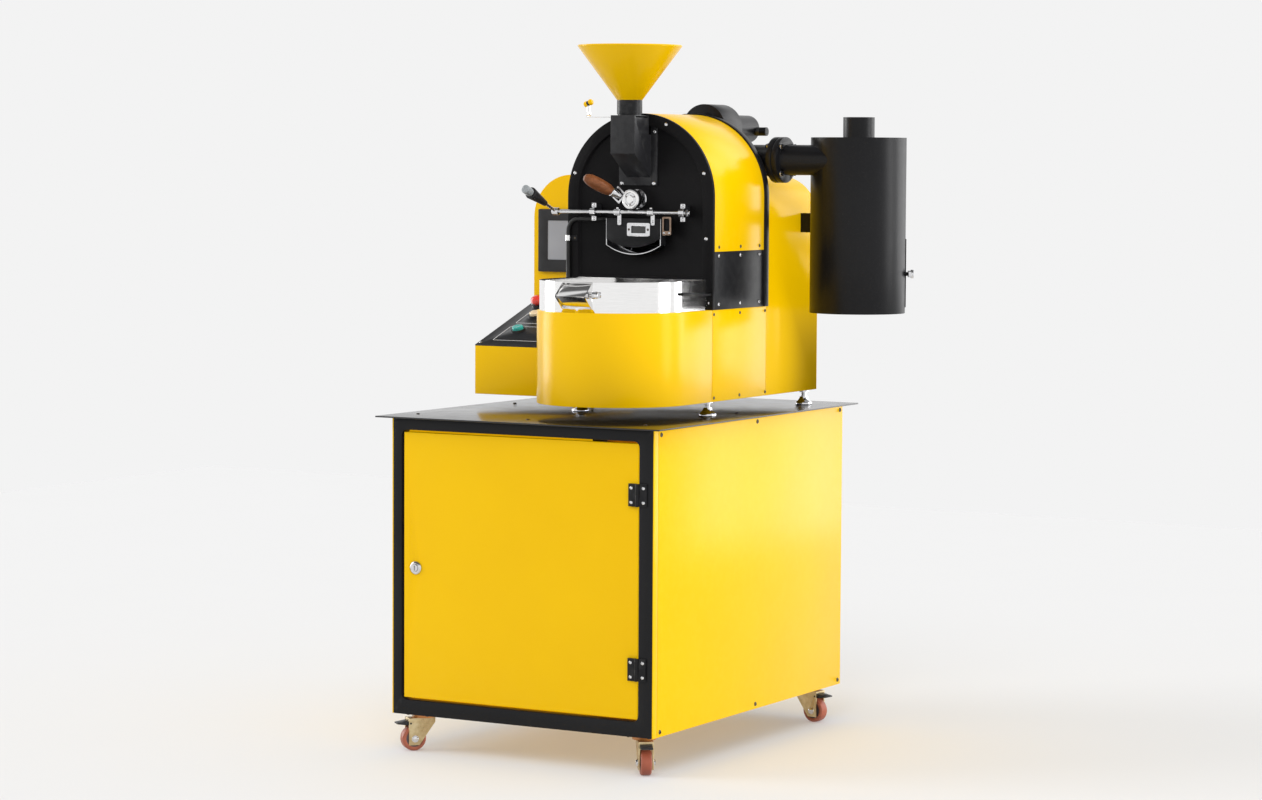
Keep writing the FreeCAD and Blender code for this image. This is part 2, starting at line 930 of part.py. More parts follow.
# The slot is opened again where the rails were joined to the chute walls.
finish(
    cut(
        chuteShell,
        box(chuteLeft - 1, slotFront, chuteTop, chuteWide + 2, slotBack - slotFront, gateSlot),
    ),
    "inlet_chute",
)
knobX = chuteLeft - size("knob_out", 69.5)
gate = fuse(
    box(
        chuteLeft - 40,
        slotFront + gateFit,
        gateLow,
        chuteWide + 42,
        slotBack - slotFront - 2 * gateFit,
        gateThick,
    ),
    box(knobX, hopperY - 8, gateLow, chuteLeft - knobX - 32, 16, gateThick),
    box(knobX - 1.5, hopperY - 8, gateLow, 3, 16, 16),
    rod("z", knobX, hopperY, gateLow + 8, 4, 12),
    rod("z", knobX, hopperY, gateLow + 18, 9, 22),
)
finish(gate, "slide_gate")

# Discharge mouth and its door
rimY = archFront - 10
finish(
    cut(
        mouth(0, rimY, faceY - rimY, mouthTop),
        mouth(mouthWall, rimY - 1, faceY - rimY + 2, mouthTop - mouthWall),
    ),
    "discharge_chute",
)
doorThick = size("front_door", 4)
sightX = mouthX - size("sight_offset", 9.5)
sightZ = mouthFoot + size("sight_lift", 37)
sightWide = size("sight_wide", 53)
sightTall = size("sight_tall", 27)
sightEdge = size("sight_edge", 6)


def sightBlock(inset, ahead, depth):
    # A block about the window, starting that far ahead of the door's face.
    wide = sightWide - 2 * inset
    tall = sightTall - 2 * inset
    return box(sightX + inset, rimY - doorThick - ahead, sightZ + inset, wide, depth, tall)


doorPlate = cut(
    common(
        mouth(-1, rimY - doorThick, doorThick, mouthTop + 1),
        box(
            mouthX - mouthHalf + 2,
            rimY - doorThick,
            mouthFoot + 4,
            2 * mouthHalf - 4,
            doorThick,
            mouthTop - mouthFoot,
        ),
    ),
    sightBlock(sightEdge - 1, 1, doorThick + 2),
)
sightFrame = cut(
    sightBlock(0, sightEdge, sightEdge),
    sightBlock(sightEdge, sightEdge + 1, sightEdge + 2),
)
sightGlass = sightBlock(sightEdge - 1, 0, doorThick)
finish(group(fuse(doorPlate, sightFrame), sightGlass), "discharge_door")

shaftLeft = mouthX - size("door_shaft_left", 186.5)
shaftRight = mouthX + size("door_shaft_right", 132.5)
strapY = rimY - doorThick
lever = Rotation(Vector(1, 0, 0), 69.2)
gripStart = size("grip_start", 45)
gripLong = size("grip_long", 63)
leverParts = group(
    fuse(
        rod("z", 0, 0, 0, 3, gripStart + 32),
        cone("z", 0, 0, gripStart, 6.5, 12.5, gripLong),
        rod("z", 0, 0, gripStart + gripLong, 9, 24),
    )
)
put(leverParts, shaftLeft + 8, faceShaftY, faceShaftZ, lever)
shaftItems = [
    rod("x", shaftLeft, faceShaftY, faceShaftZ, faceShaftRadius, shaftRight - shaftLeft),
    rod("x", shaftLeft, faceShaftY, faceShaftZ, 8, 16),
    leverParts,
]
strapTall = size("strap_tall", 26)
for x in (mouthX - size("strap_left", 33.5), mouthX + size("strap_right", 43.5)):
    shaftItems.append(rod("x", x - 8, faceShaftY, faceShaftZ, 8, 16))
    shaftItems.append(box(x + 0.5, strapY - 4, faceShaftZ - strapTall, 9, 4, strapTall))
finish(fuse(*shaftItems), "door_shaft")

blocks = []
blockX = (mouthX - size("block_left", 90.5), mouthX + size("block_right", 114.5))
collarHalf = 9
earReach = 18
earY = faceShaftY + 2
earThick = 3
for x in blockX:
    ears = box(x - 5.5, earY, faceShaftZ - earReach, 11, earThick, 2 * earReach)
    heads = [rod("y", x, earY - 3, faceShaftZ + side * 14, 4, 3) for side in (-1, 1)]
    blocks.append(
        cut(
            fuse(
                box(x - 6, faceShaftY - collarHalf, faceShaftZ - collarHalf, 12, collarHalf + 3, 2 * collarHalf),
                box(x - 4, earY + 1, faceShaftZ - collarHalf, 8, faceY - earY - 1, 24),
                ears,
                *heads,
            ),
            rod("x", x - 9, faceShaftY, faceShaftZ, faceShaftRadius + fit, 18),
        )
    )
finish(group(*blocks), "bearing_blocks")

# Bean trier in its port, with the wooden handle
portDepth = size("port_depth", 8)
finish(
    cut(
        fuse(
            rod("y", trierX, faceY - portDepth, trierZ, 21, portDepth),
            rod("y", trierX, faceY, trierZ, trierRadius + 1, frontThick),
        ),
        rod("y", trierX, faceY - 20, trierZ, trierRadius + fit, 60),
    ),
    "trier_port",
)
trierFace = faceY - portDepth
dialThick = 14
yoke = box(trierX - 36, trierFace - 13, trierZ - 7, 24, 10, 26)
finish(
    cut(
        fuse(
            rod("y", trierX, trierFace - dialThick, trierZ, 20, dialThick),
            rod("y", trierX, trierFace, trierZ, trierRadius, 130),
            yoke,
        ),
        rod("y", trierX, trierFace + 12, trierZ, trierRadius - 1.5, 114),
        box(
            trierX - trierRadius,
            trierFace + 34,
            trierZ,
            2 * trierRadius,
            84,
            trierRadius,
        ),
    ),
    "trier",
)
handleTurn = Rotation(Vector(0, 0, 1), Vector(-0.5, -0.75, 0.43))
handle = turned(
    [
        (0, 0),
        (7, 0),
        (8, 4),
        (8, 20),
        (11, 24),
        (13, 38),
        (12.5, 62),
        (10.5, 78),
        (6, 86),
        (0, 87),
    ]
)
put(handle, trierX - 25.5, trierFace - 13, trierZ + 7.3, handleTurn)
finish(
    cut(
        group(handle),
        yoke,
        rod("y", trierX, trierFace - dialThick, trierZ, 20, dialThick + 6),
    ),
    "trier_handle",
)

# Black probe conduit: one round section swept along straight runs and true arcs
conduitRadius = size("conduit_radius", 4)
conduitY = archFront - conduitRadius - 1
conduitX = baseX - baseRadius - size("conduit_out", 16)
conduitZ = faceShaftZ - size("conduit_drop", 15)
conduitStart = archX - size("conduit_start", 84)
conduitFoot = baseTop - size("conduit_below", 19)
clipZ = conduitZ - size("clip_drop", 45)
clipTall = size("clip_tall", 12)
bendOut = faceY - conduitY
bendDown = size("conduit_bend", 24)


def point(x, y, z):
    return Vector(
        sized(x).value - originX.value,
        sized(y).value - originY.value,
        sized(z).value,
    )


def arcThrough(start, middle, end):
    return Part.Arc(start, middle, end).toShape()


slant = math.sqrt(0.5)
cornerOut = point(conduitStart - bendOut, faceY, conduitZ)
cornerDown = point(conduitX + bendDown, conduitY, conduitZ - bendDown)
route = Part.Wire(
    [
        arcThrough(
            point(conduitStart, faceY, conduitZ),
            cornerOut + Vector(slant, -slant, 0) * bendOut.value,
            point(conduitStart - bendOut, conduitY, conduitZ),
        ),
        Part.LineSegment(
            point(conduitStart - bendOut, conduitY, conduitZ),
            point(conduitX + bendDown, conduitY, conduitZ),
        ).toShape(),
        arcThrough(
            point(conduitX + bendDown, conduitY, conduitZ),
            cornerDown + Vector(-slant, 0, slant) * bendDown.value,
            point(conduitX, conduitY, conduitZ - bendDown),
        ),
        Part.LineSegment(
            point(conduitX, conduitY, conduitZ - bendDown),
            point(conduitX, conduitY, conduitFoot),
        ).toShape(),
    ]
)
section = Part.Wire(
    Part.makeCircle(
        conduitRadius.value,
        point(conduitStart, faceY, conduitZ),
        Vector(0, -1, 0),
    )
)
conduit = doc.addObject("Part::Feature", "conduit")
conduit.Shape = route.makePipeShell([section], True, True)
swept = math.pi * conduitRadius.value**2 * route.Length
if abs(conduit.Shape.Volume - swept) > 0.01 * swept:
    raise RuntimeError("the conduit sweep lost part of its volume")
conduit.Label = "probe_conduit"
nodes.append(conduit)
clip = cut(
    fuse(
        box(conduitX - 6, conduitY - 6, clipZ, 12, archFront - conduitY + 6, clipTall),
        box(conduitX - 6, archFront - 2, clipZ, 26, 2, clipTall),
        rod("y", conduitX + 14, archFront - 5, clipZ + clipTall / 2, 4, 3),
    ),
    rod("z", conduitX, conduitY, clipZ - 1, conduitRadius, clipTall + 2),
)
gland = cut(
    box(
        conduitX - 10,
        conduitY - 10,
        conduitFoot - 4,
        baseX - baseRadius - conduitX + 10,
        16,
        22,
    ),
    rod("z", conduitX, conduitY, conduitFoot, conduitRadius, 60),
)
finish(group(clip, gland), "conduit_clips")

# Touch panel and sloped console
panelBack = baseBack
panelDeep = size("panel_depth", 8)
panelLeft = housingLeft + size("panel_inset", 15)
panelFoot = baseTop + size("panel_lift", 60)
panelWide = size("panel_wide", 180)
panelTall = size("panel_tall", 133)
screenX = panelLeft + size("screen_inset", 17)
screenZ = panelFoot + size("screen_lift", 22)
screenWide = size("screen_wide", 146)
screenTall = size("screen_tall", 87)
finish(
    group(
        cut(
            box(panelLeft, panelBack - panelDeep, panelFoot, panelWide, panelDeep, panelTall),
            box(screenX, panelBack - panelDeep - 1, screenZ, screenWide, 4, screenTall),
        ),
        box(screenX, panelBack - panelDeep + 1, screenZ, screenWide, 2, screenTall),
    ),
    "touch_panel",
)
slope = (consoleHigh - consoleLow) / (baseBack - consoleFront)
slopeAngle = math.degrees(math.atan(slope.value))


def slopeZ(y):
    return consoleLow + slope * (y - consoleFront)


topSkin = size("console_skin", 2)
buttons = (
    ("start_button", housingLeft + 57, consoleFront + 78, 12, 6, 8, 3, 6.5),
    ("stop_button", housingLeft + 52, consoleFront + 156, 12, 6, 8, 3, 6.5),
    ("emergency_button", housingLeft + 32, consoleFront + 204, 18, 9, 16, 4, 13),
)
consoleRun = consoleRight - housingLeft
consoleCase = cut(
    sidePlate(
        [
            (consoleFront, consoleFoot),
            (baseBack, consoleFoot),
            (baseBack, consoleHigh - topSkin),
            (consoleFront, consoleLow - topSkin),
        ],
        housingLeft,
        consoleRun,
    ),
    sidePlate(
        [
            (consoleFront + shell, consoleFoot + shell),
            (baseBack - shell, consoleFoot + shell),
            (baseBack - shell, consoleHigh + 9),
            (consoleFront + shell, consoleLow + 9),
        ],
        housingLeft + shell,
        consoleRun - 2 * shell,
    ),
)
finish(consoleCase, "console_body")
tilt = Rotation(Vector(1, 0, 0), slopeAngle)
holes = []
collars = []
for label, x, y, capRadius, stemRadius, capTall, travel, collar in buttons:
    hole = group(rod("z", 0, 0, -10, stemRadius + fit, 20))
    put(hole, x, y, slopeZ(y), tilt)
    holes.append(hole)
    ring = group(
        cut(
            rod("z", 0, 0, 0, capRadius + 4, collar - 2),
            rod("z", 0, 0, -1, capRadius + 0.5, collar + 2),
        )
        if label != "emergency_button"
        else cut(
            rod("z", 0, 0, 0, 15, collar - 5),
            rod("z", 0, 0, -1, stemRadius + fit, collar + 2),
        )
    )
    put(ring, x, y, slopeZ(y), tilt)
    collars.append(ring)
    rest = travel if label != "emergency_button" else collar - 5 + travel
    cap = turned(
        [
            (0, -14),
            (stemRadius, -14),
            (stemRadius, rest),
            (capRadius, rest),
            (capRadius, rest + capTall - 3),
            (capRadius * 0.7, rest + capTall - 1),
            (0, rest + capTall),
        ]
    )
    finish(group(cap), label, x, y, slopeZ(y), tilt)
skin = sidePlate(
    [
        (consoleFront, consoleLow - topSkin),
        (baseBack, consoleHigh - topSkin),
        (baseBack, consoleHigh),
        (consoleFront, consoleLow),
    ],
    housingLeft,
    consoleRun,
)
finish(fuse(cut(skin, *holes), *collars), "console_panel")

# Cooling bin with its spout
binTop = baseTop + binHeight
binFloor = baseTop + 9
spoutHalf = size("spout_half", 32)
spoutY = baseY - binRadius - size("spout_out", 25)
spoutCut = baseY - binRadius + 30 - spoutY
binShell = cut(
    rounded(binX, baseY, binRadius, archFront, baseTop, binHeight),
    rounded(binX, baseY, binRadius - shell, archFront - shell, binFloor + shell, binHeight),
    rounded(binX, baseY, binRadius - shell, archFront - shell, baseTop + shell, 5),
    box(binX - spoutHalf, spoutY, binFloor + shell, 2 * spoutHalf, spoutCut, binHeight),
    rod("z", baseX, baseY, baseTop - 1, stirRadius + fit, binHeight),
    *[
        rod(
            "z",
            baseX + ring * round(math.cos(2 * math.pi * k / count), 4),
            baseY + ring * round(math.sin(2 * math.pi * k / count), 4),
            binFloor - 3,
            2.5,
            8,
        )
        for ring, count in ((30, 8), (56, 14), (82, 20), (100, 24))
        for k in range(count)
    ],
)
spoutBack = baseY - binRadius + 6
pivotY = spoutY + size("gate_pivot_back", 22)
pivotZ = binFloor + size("gate_pivot_lift", 26)
pivotPin = size("gate_pin", 2.5)
spoutLip = spoutY + size("spout_lip", 25)
spoutSide = [
    (spoutBack, binTop - 1),
    (spoutBack - 4, binTop - 1),
    (spoutY - 3, pivotZ - 2),
    (spoutLip, binFloor - 2),
    (spoutBack, binFloor - 2),
]
cheeks = cut(
    fuse(
        sidePlate(spoutSide, binX - spoutHalf - 2, 2),
        sidePlate(spoutSide, binX + spoutHalf, 2),
        box(
            binX - spoutHalf - 1,
            spoutLip,
            binFloor - 2,
            2 * spoutHalf + 2,
            spoutBack - spoutLip,
            2,
        ),
    ),
    rod("x", binX - 50, pivotY, pivotZ, pivotPin + fit, 100),
    rounded(binX, baseY, binRadius - shell, archFront - shell, baseTop, binHeight),
)
finish(fuse(binShell, cheeks), "cooling_bin")
flapHalf = spoutHalf - 0.5
flapBack = pivotY + 9
flapSide = [
    (flapBack, binTop - 2),
    (spoutY - 2, pivotZ - 2),
    (spoutLip - 1, binFloor + 3),
    (pivotY + 5, pivotZ - 4),
]
flap = fuse(
    sidePlate(
        [
            (flapBack, binTop - 2),
            (spoutY - 2, pivotZ - 2),
            (spoutLip - 1, binFloor + 3),
            (spoutLip + 1.5, binFloor + 3),
            (spoutY + 1, pivotZ - 2),
            (flapBack, binTop - 5),
        ],
        binX - flapHalf,
        2 * flapHalf,
    ),
    sidePlate(flapSide, binX - flapHalf, 2),
    sidePlate(flapSide, binX + flapHalf - 2, 2),
    rod("x", binX - spoutHalf - 6, pivotY, pivotZ, pivotPin, 2 * spoutHalf + 14),
    rod("x", binX + spoutHalf + 5, pivotY, pivotZ, 6, 12),
)
finish(flap, "bin_gate")

# Stirring arm of the cooling bin
hubZ = binFloor + shell
armZ = hubZ + 14
arms = [
    rod("z", baseX, baseY, stirFoot + 5, stirRadius, hubZ + 30 - stirFoot - 5),
    rod("z", baseX, baseY, hubZ + fit, 20, 26),
]
for k in range(2):
    arm = group(
        fuse(
            box(-100, -6, armZ, 200, 12, 4),
            *[box(x, -2, hubZ + 2, 22, 4, 13) for x in (-98, -62, 44, 76)],
        )
    )
    put(arm, baseX, baseY, 0, Rotation(Vector(0, 0, 1), 90 * k + 25))
    arms.append(arm)
finish(fuse(*arms), "stir_arm")

# Exhaust blower, its wheel, the pipe and the cyclone
blowerIn = blowerRadius - 3
duct = 33
ductTall = 44
motorFront = blowerFront + blowerDepth
blowerBody = cut(
    fuse(
        rod("y", blowerX, blowerFront, blowerZ, blowerRadius, blowerDepth),
        box(blowerX - 40, pipeY - duct, housingTop, 85, 2 * duct, 2 * duct + 1),
        rod("y", blowerX, motorFront, blowerZ, 29, 118),
        rod("y", blowerX, motorFront + 118, blowerZ, 20, 5),
        rod("x", blowerX + 20, motorFront + 104, blowerZ - 5, 9, 34),
    ),
    rod("y", blowerX, blowerFront + 3, blowerZ, blowerIn, blowerDepth - 6),
    box(blowerX - 37, pipeY - duct + 3, housingTop + 3, 79, 2 * duct - 6, ductTall),
    box(blowerX - 20, pipeY - 15, housingTop + 10, 40, 30, 60),
    rod("x", blowerX + 30, pipeY, pipeZ, pipeRadius - 4, 30),
    rod("y", blowerX, motorFront - 4, blowerZ, 5 + fit, 40),
    rod("y", blowerX, blowerFront - 1, blowerZ, 18, 6),
)
finish(blowerBody, "blower")
blades = [
    rod("y", blowerX, blowerFront + 62, blowerZ, 42, 4),
    rod("y", blowerX, blowerFront + 40, blowerZ, 12, 22),
    rod("y", blowerX, blowerFront + 66, blowerZ, 5, 36),
]
for k in range(8):
    blade = group(box(24, 0, -1, 17, 40, 2))
    put(blade, blowerX, blowerFront + 22, blowerZ, Rotation(Vector(0, 1, 0), 45 * k))
    blades.append(blade)
finish(fuse(*blades), "impeller")

pipeStart = blowerX + 45
pipeWall = size("pipe_wall", 1.5)
flangeX = cycloneX - size("pipe_flange", 158)
bolts = []
for k in range(4):
    angle = math.radians(45 + 90 * k)
    bolts.append(
        rod(
            "x",
            flangeX - 8,
            pipeY + 39 * round(math.cos(angle), 4),
            pipeZ + 39 * round(math.sin(angle), 4),
            5,
            40,
        )
    )
finish(
    cut(
        fuse(
            rod("x", pipeStart, pipeY, pipeZ, pipeRadius, cycloneX - pipeStart),
            rod("x", flangeX, pipeY, pipeZ, 47, 11),
            rod("x", flangeX + 13, pipeY, pipeZ, 47, 11),
            rod("x", flangeX + 11, pipeY, pipeZ, 44, 2),
            *bolts,
        ),
        rod("x", pipeStart - 1, pipeY, pipeZ, pipeRadius - pipeWall, cycloneX),
        rod("z", cycloneX, cycloneY, cycloneFoot, cycloneRadius, cycloneTop - cycloneFoot),
    ),
    "exhaust_pipe",
)
stubTop = cycloneTop + stubHeight
cycloneWall = size("cyclone_wall", 1.5)
cycloneIn = cycloneRadius - cycloneWall
cycloneBody = turned(
    [
        (0, cycloneFoot),
        (cycloneRadius, cycloneFoot),
        (cycloneRadius, cycloneTop),
        (stubRadius, cycloneTop),
        (stubRadius, stubTop),
        (stubRadius - cycloneWall, stubTop),
        (stubRadius - cycloneWall, cycloneTop - 110),
        (stubRadius, cycloneTop - 110),
        (stubRadius, cycloneTop - cycloneWall),
        (cycloneIn, cycloneTop - cycloneWall),
        (cycloneIn, cycloneFoot + 3),
        (0, cycloneFoot + 3),
    ]
)
put(cycloneBody, cycloneX, cycloneY, 0)
doorStart = 22
doorEnd = 112
doorFootZ = cycloneFoot + 12
doorHigh = size("chaff_door", 140)


def wedge(start, end, near, far, z, tall):
    # A block between two directions, used to cut a piece of a round wall.
    corners = [(0, 0)]
    steps = 4
    for k in range(steps + 1):
        angle = math.radians(start + (end - start) * k / steps)
        corners.append((far * round(math.cos(angle), 5), far * round(math.sin(angle), 5)))
    item = prism(corners, tall)
    return put(item, cycloneX, cycloneY, z)


reachOut = 2 * cycloneRadius
bracketZ = cycloneTop - size("bracket_drop", 197)
hingeAngle = math.radians(doorEnd)
hingeRing = cycloneRadius + 5
chaffHingeX = cycloneX + hingeRing * round(math.cos(hingeAngle), 5)
chaffHingeY = cycloneY + hingeRing * round(math.sin(hingeAngle), 5)
lugFoot = doorFootZ + 28
knuckleFoot = lugFoot + 12
knuckleTall = 60
bracket = cut(
    fuse(
        box(housingRight, cycloneY + 50, bracketZ, 100, 22, 40),
        rod("z", chaffHingeX, chaffHingeY, lugFoot, 5.5, 12),
        rod("z", chaffHingeX, chaffHingeY, knuckleFoot + knuckleTall, 5.5, 12),
        rod("z", chaffHingeX, chaffHingeY, lugFoot, 2, knuckleTall + 24),
    ),
    rod("z", cycloneX, cycloneY, cycloneFoot, cycloneIn, 400),
)
finish(
    cut(
        fuse(cycloneBody, bracket),
        wedge(doorStart + 6, doorEnd - 4, 0, reachOut, doorFootZ + 6, doorHigh - 12),
        cut(
            rod("x", cycloneX - 110, pipeY, pipeZ, pipeRadius - pipeWall, 110),
            rod("z", cycloneX, cycloneY, pipeZ - 100, stubRadius, 200),
        ),
    ),
    "cyclone",
)
doorSkin = size("chaff_skin", 1.5)
doorClear = size("chaff_clear", 0.05)
doorOuter = cycloneRadius + doorClear + doorSkin


def curvedSkin(start, end, z, tall):
    return common(
        cut(
            rod("z", cycloneX, cycloneY, z, doorOuter, tall),
            rod("z", cycloneX, cycloneY, z - 1, cycloneRadius + doorClear, tall + 2),
        ),
        wedge(start, end, 0, reachOut, z, tall),
    )


knuckle = cut(
    rod("z", chaffHingeX, chaffHingeY, knuckleFoot + fit, 4.5, knuckleTall - 2 * fit),
    rod("z", chaffHingeX, chaffHingeY, knuckleFoot, 2 + fit, knuckleTall),
)
chaffDoor = cut(
    fuse(
        curvedSkin(doorStart, doorEnd - 5, doorFootZ, doorHigh),
        curvedSkin(doorEnd - 10, doorEnd - 1, knuckleFoot + fit, knuckleTall - 2 * fit),
        knuckle,
    ),
    rod("z", chaffHingeX, chaffHingeY, knuckleFoot, 2 + fit, knuckleTall),
)
latchAngle = 30
latchTurn = Rotation(Vector(0, 0, 1), latchAngle)
latchZ = doorFootZ + size("latch_lift", 68)
latchPost = group(rod("x", cycloneRadius, 0, 0, 4, 9))
put(latchPost, cycloneX, cycloneY, latchZ, latchTurn)
chaffDoor = cut(
    fuse(chaffDoor, latchPost),
    rod("z", cycloneX, cycloneY, doorFootZ - 1, cycloneRadius + doorClear, doorHigh + 2),
)
finish(chaffDoor, "chaff_door")
latch = group(
    cut(
        fuse(
            rod("x", cycloneRadius + 5, 0, 0, 7, 6),
            box(cycloneRadius + 5, -26, -5, 5, 26, 10),
            rod("x", cycloneRadius + 11, 0, 0, 9, 6),
        ),
        rod("x", cycloneRadius, 0, 0, 4 + fit, 9 + fit),
    )
)
finish(latch, "chaff_latch", cycloneX, cycloneY, latchZ, latchTurn)

doc.recompute()
for item in doc.Objects:
    for word in ("Invalid", "Error"):
        if word in item.State:
            raise RuntimeError(f"{item.Label} is {word}")
for item in nodes:
    if item.Shape.isNull() or not item.Shape.isValid():
        raise RuntimeError(f"{item.Label} has no valid shape")

os.makedirs("parts", exist_ok=True)
for item in nodes:
    item.Shape.exportStep(f"parts/{item.Label}.step")
print(len(nodes), "nodes written")
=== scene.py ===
import json
import math

import bmesh
import bpy
from mathutils import Matrix, Vector


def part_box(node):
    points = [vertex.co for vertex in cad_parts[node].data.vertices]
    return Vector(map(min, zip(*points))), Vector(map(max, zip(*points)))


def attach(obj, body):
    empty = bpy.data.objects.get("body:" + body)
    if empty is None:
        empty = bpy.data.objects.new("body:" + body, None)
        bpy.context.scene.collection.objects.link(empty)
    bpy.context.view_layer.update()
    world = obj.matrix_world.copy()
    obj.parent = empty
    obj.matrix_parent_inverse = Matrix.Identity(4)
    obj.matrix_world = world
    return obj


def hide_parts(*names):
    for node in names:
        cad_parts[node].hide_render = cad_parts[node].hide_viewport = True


class Facts(dict):
    # The values of one piece, read by name with a dot.
    __getattr__ = dict.__getitem__


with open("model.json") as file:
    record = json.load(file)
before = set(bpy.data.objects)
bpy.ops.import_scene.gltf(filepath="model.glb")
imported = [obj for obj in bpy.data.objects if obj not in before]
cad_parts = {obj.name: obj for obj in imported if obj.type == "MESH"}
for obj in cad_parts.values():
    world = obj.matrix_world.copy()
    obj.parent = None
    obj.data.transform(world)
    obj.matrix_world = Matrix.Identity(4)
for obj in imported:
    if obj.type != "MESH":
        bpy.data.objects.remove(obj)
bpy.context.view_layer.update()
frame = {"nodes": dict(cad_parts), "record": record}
nodes = frame["nodes"]
bodyOf = {n: b for b, names in frame["record"]["behaviour"]["bodies"].items() for n in names}
slotOf = {entry["node"]: entry["material_slot"] for entry in frame["record"]["subparts"]}
print("frame loaded:", len(nodes), "nodes")

# The row's origin is the middle of the footprint; drawings are in mm from the cabinet's front.
shiftX, shiftY = 93.0, 409.0


def at(x, y, z):
    return Vector(((x - shiftX) / 1000, (y - shiftY) / 1000, z / 1000))


def span(nodeName):
    # The box of a CAD node, in mm from the cabinet's front.
    low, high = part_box(nodeName)
    shift = Vector((shiftX, shiftY, 0))
    return low * 1000 + shift, high * 1000 + shift


# Camera, at the photograph's place and angle
cameraFacts = Facts(place=(3454.0, -5645.6, 1190.5), yaw=29.589, pitch=4.060, roll=0.300, focal=3393.15)
photoWidth = 1262


def makeCamera(facts):
    yaw, pitch, roll = (math.radians(facts[k]) for k in ("yaw", "pitch", "roll"))
    back = Vector((math.sin(yaw) * math.cos(pitch), -math.cos(yaw) * math.cos(pitch), math.sin(pitch)))
    right0 = Vector((math.cos(yaw), math.sin(yaw), 0))
    up0 = back.cross(right0)
    right = right0 * math.cos(roll) + up0 * math.sin(roll)
    up = up0 * math.cos(roll) - right0 * math.sin(roll)
    data = bpy.data.cameras.new("photoCamera")
    data.sensor_width = 36
    data.sensor_fit = "HORIZONTAL"
    data.lens = facts.focal * data.sensor_width / photoWidth
    data.clip_end = 60
    camera = bpy.data.objects.new("photoCamera", data)
    bpy.context.scene.collection.objects.link(camera)
    turn = Matrix((right, up, back)).transposed().to_4x4()
    camera.matrix_world = Matrix.Translation(at(*facts.place)) @ turn
    bpy.context.scene.camera = camera


makeCamera(cameraFacts)
print("camera placed")


# Shader maths: a socket that adds nodes when it is used in a sum.
class Wire:
    def __init__(self, maker, socket):
        self.maker = maker
        self.socket = socket

    def sum(self, operation, *others):
        return self.maker.node("Math", {"operation": operation}, dict(enumerate((self, *others))))

    def __add__(self, other):
        return self.sum("ADD", other)

    def __radd__(self, other):
        return self.sum("ADD", other)

    def __sub__(self, other):
        return self.sum("SUBTRACT", other)

    def __mul__(self, other):
        return self.sum("MULTIPLY", other)

    def between(self, low, high):
        return self.maker.node(
            "MapRange", {"clamp": True}, {"Value": self, "From Min": low, "From Max": high}
        )


class Maker:
    def __init__(self, name):
        self.material = bpy.data.materials.new(name)
        self.material.use_nodes = True
        self.tree = self.material.node_tree
        self.shader = self.tree.nodes["Principled BSDF"]

    def node(self, kind, settings=(), inputs=(), output=None):
        made = self.tree.nodes.new("ShaderNode" + kind)
        for key, value in dict(settings).items():
            setattr(made, key, value)
        for key, value in dict(inputs).items():
            self.feed(made.inputs[key], value)
        outputs = [o for o in made.outputs if o.enabled]
        return Wire(self, made.outputs[output] if output else outputs[0])

    def feed(self, socket, value):
        if isinstance(value, Wire):
            self.tree.links.new(value.socket, socket)
        elif isinstance(value, (tuple, list)) and socket.type == "RGBA" and len(value) == 3:
            socket.default_value = (*value, 1)
        else:
            socket.default_value = value

    def place(self):
        return self.node("TexCoord", output="Object")

    def noise(self, where, scale, detail=2.0, roughness=0.5, distortion=0.0):
        inputs = {
            "Vector": where, "Scale": scale, "Detail": detail, "Roughness": roughness,
            "Distortion": distortion
        }
        return self.node("TexNoise", {}, inputs, "Fac")

    def stretched(self, where, scale):
        return self.node("VectorMath", {"operation": "MULTIPLY"}, {0: where, 1: scale}, "Vector")

    def blend(self, amount, first, second):
        made = self.tree.nodes.new("ShaderNodeMix")
        made.data_type = "RGBA"
        for name, value in (("Factor", amount), ("A", first), ("B", second)):
            socket = next(s for s in made.inputs if s.name == name and s.enabled)
            self.feed(socket, value)
        return Wire(self, next(o for o in made.outputs if o.enabled))

    def bump(self, height, strength, distance):
        return self.node("Bump", {}, {"Height": height, "Strength": strength, "Distance": distance}, "Normal")

    def edges(self):
        # Bright where the surface turns outwards, for worn edges.
        return self.node("NewGeometry", output="Pointiness")

    def finish(self, **values):
        for key, value in values.items():
            self.feed(self.shader.inputs[key.replace("_", " ")], value)
        return self.material


paintBase = Facts(
    rough=0.2, coat=0.0, coatRough=0.2, peel=0.12, peelScale=420, specks=0.3, haze=0.06, wear=0.25,
    shine=0.5,
)


def paintCoat(name, **values):
    # Powder coat: orange peel, faint clouding, a little dust and rubbed edges.
    look = Facts(paintBase, **values)
    m = Maker(name)
    where = m.place()
    cloud = m.noise(where, 5, 3)
    peel = m.noise(where, look.peelScale, 1.5)
    specks = m.noise(where, 900, 0).between(0.70, 0.78)
    rub = m.edges().between(0.54, 0.62) * m.noise(where, 60, 4).between(0.45, 0.6) * look.wear
    color = m.blend(cloud.between(0.3, 0.7), look.dark, look.light)
    color = m.blend(specks * look.specks, color, look.speck)
    color = m.blend(rub, color, look.speck)
    rough = look.rough + (cloud - 0.5) * 0.08 + m.noise(where, 24, 5, 0.7).between(0.4, 0.8) * look.haze
    return m.finish(
        Base_Color=color,
        Roughness=rough,
        Coat_Weight=look.coat,
        Coat_Roughness=look.coatRough,
        Specular_IOR_Level=look.shine,
        Normal=m.bump(peel, look.peel, 0.0004),
    )


metalBase = Facts(roughRange=0.14, smudge=0.1, grain=0.1)


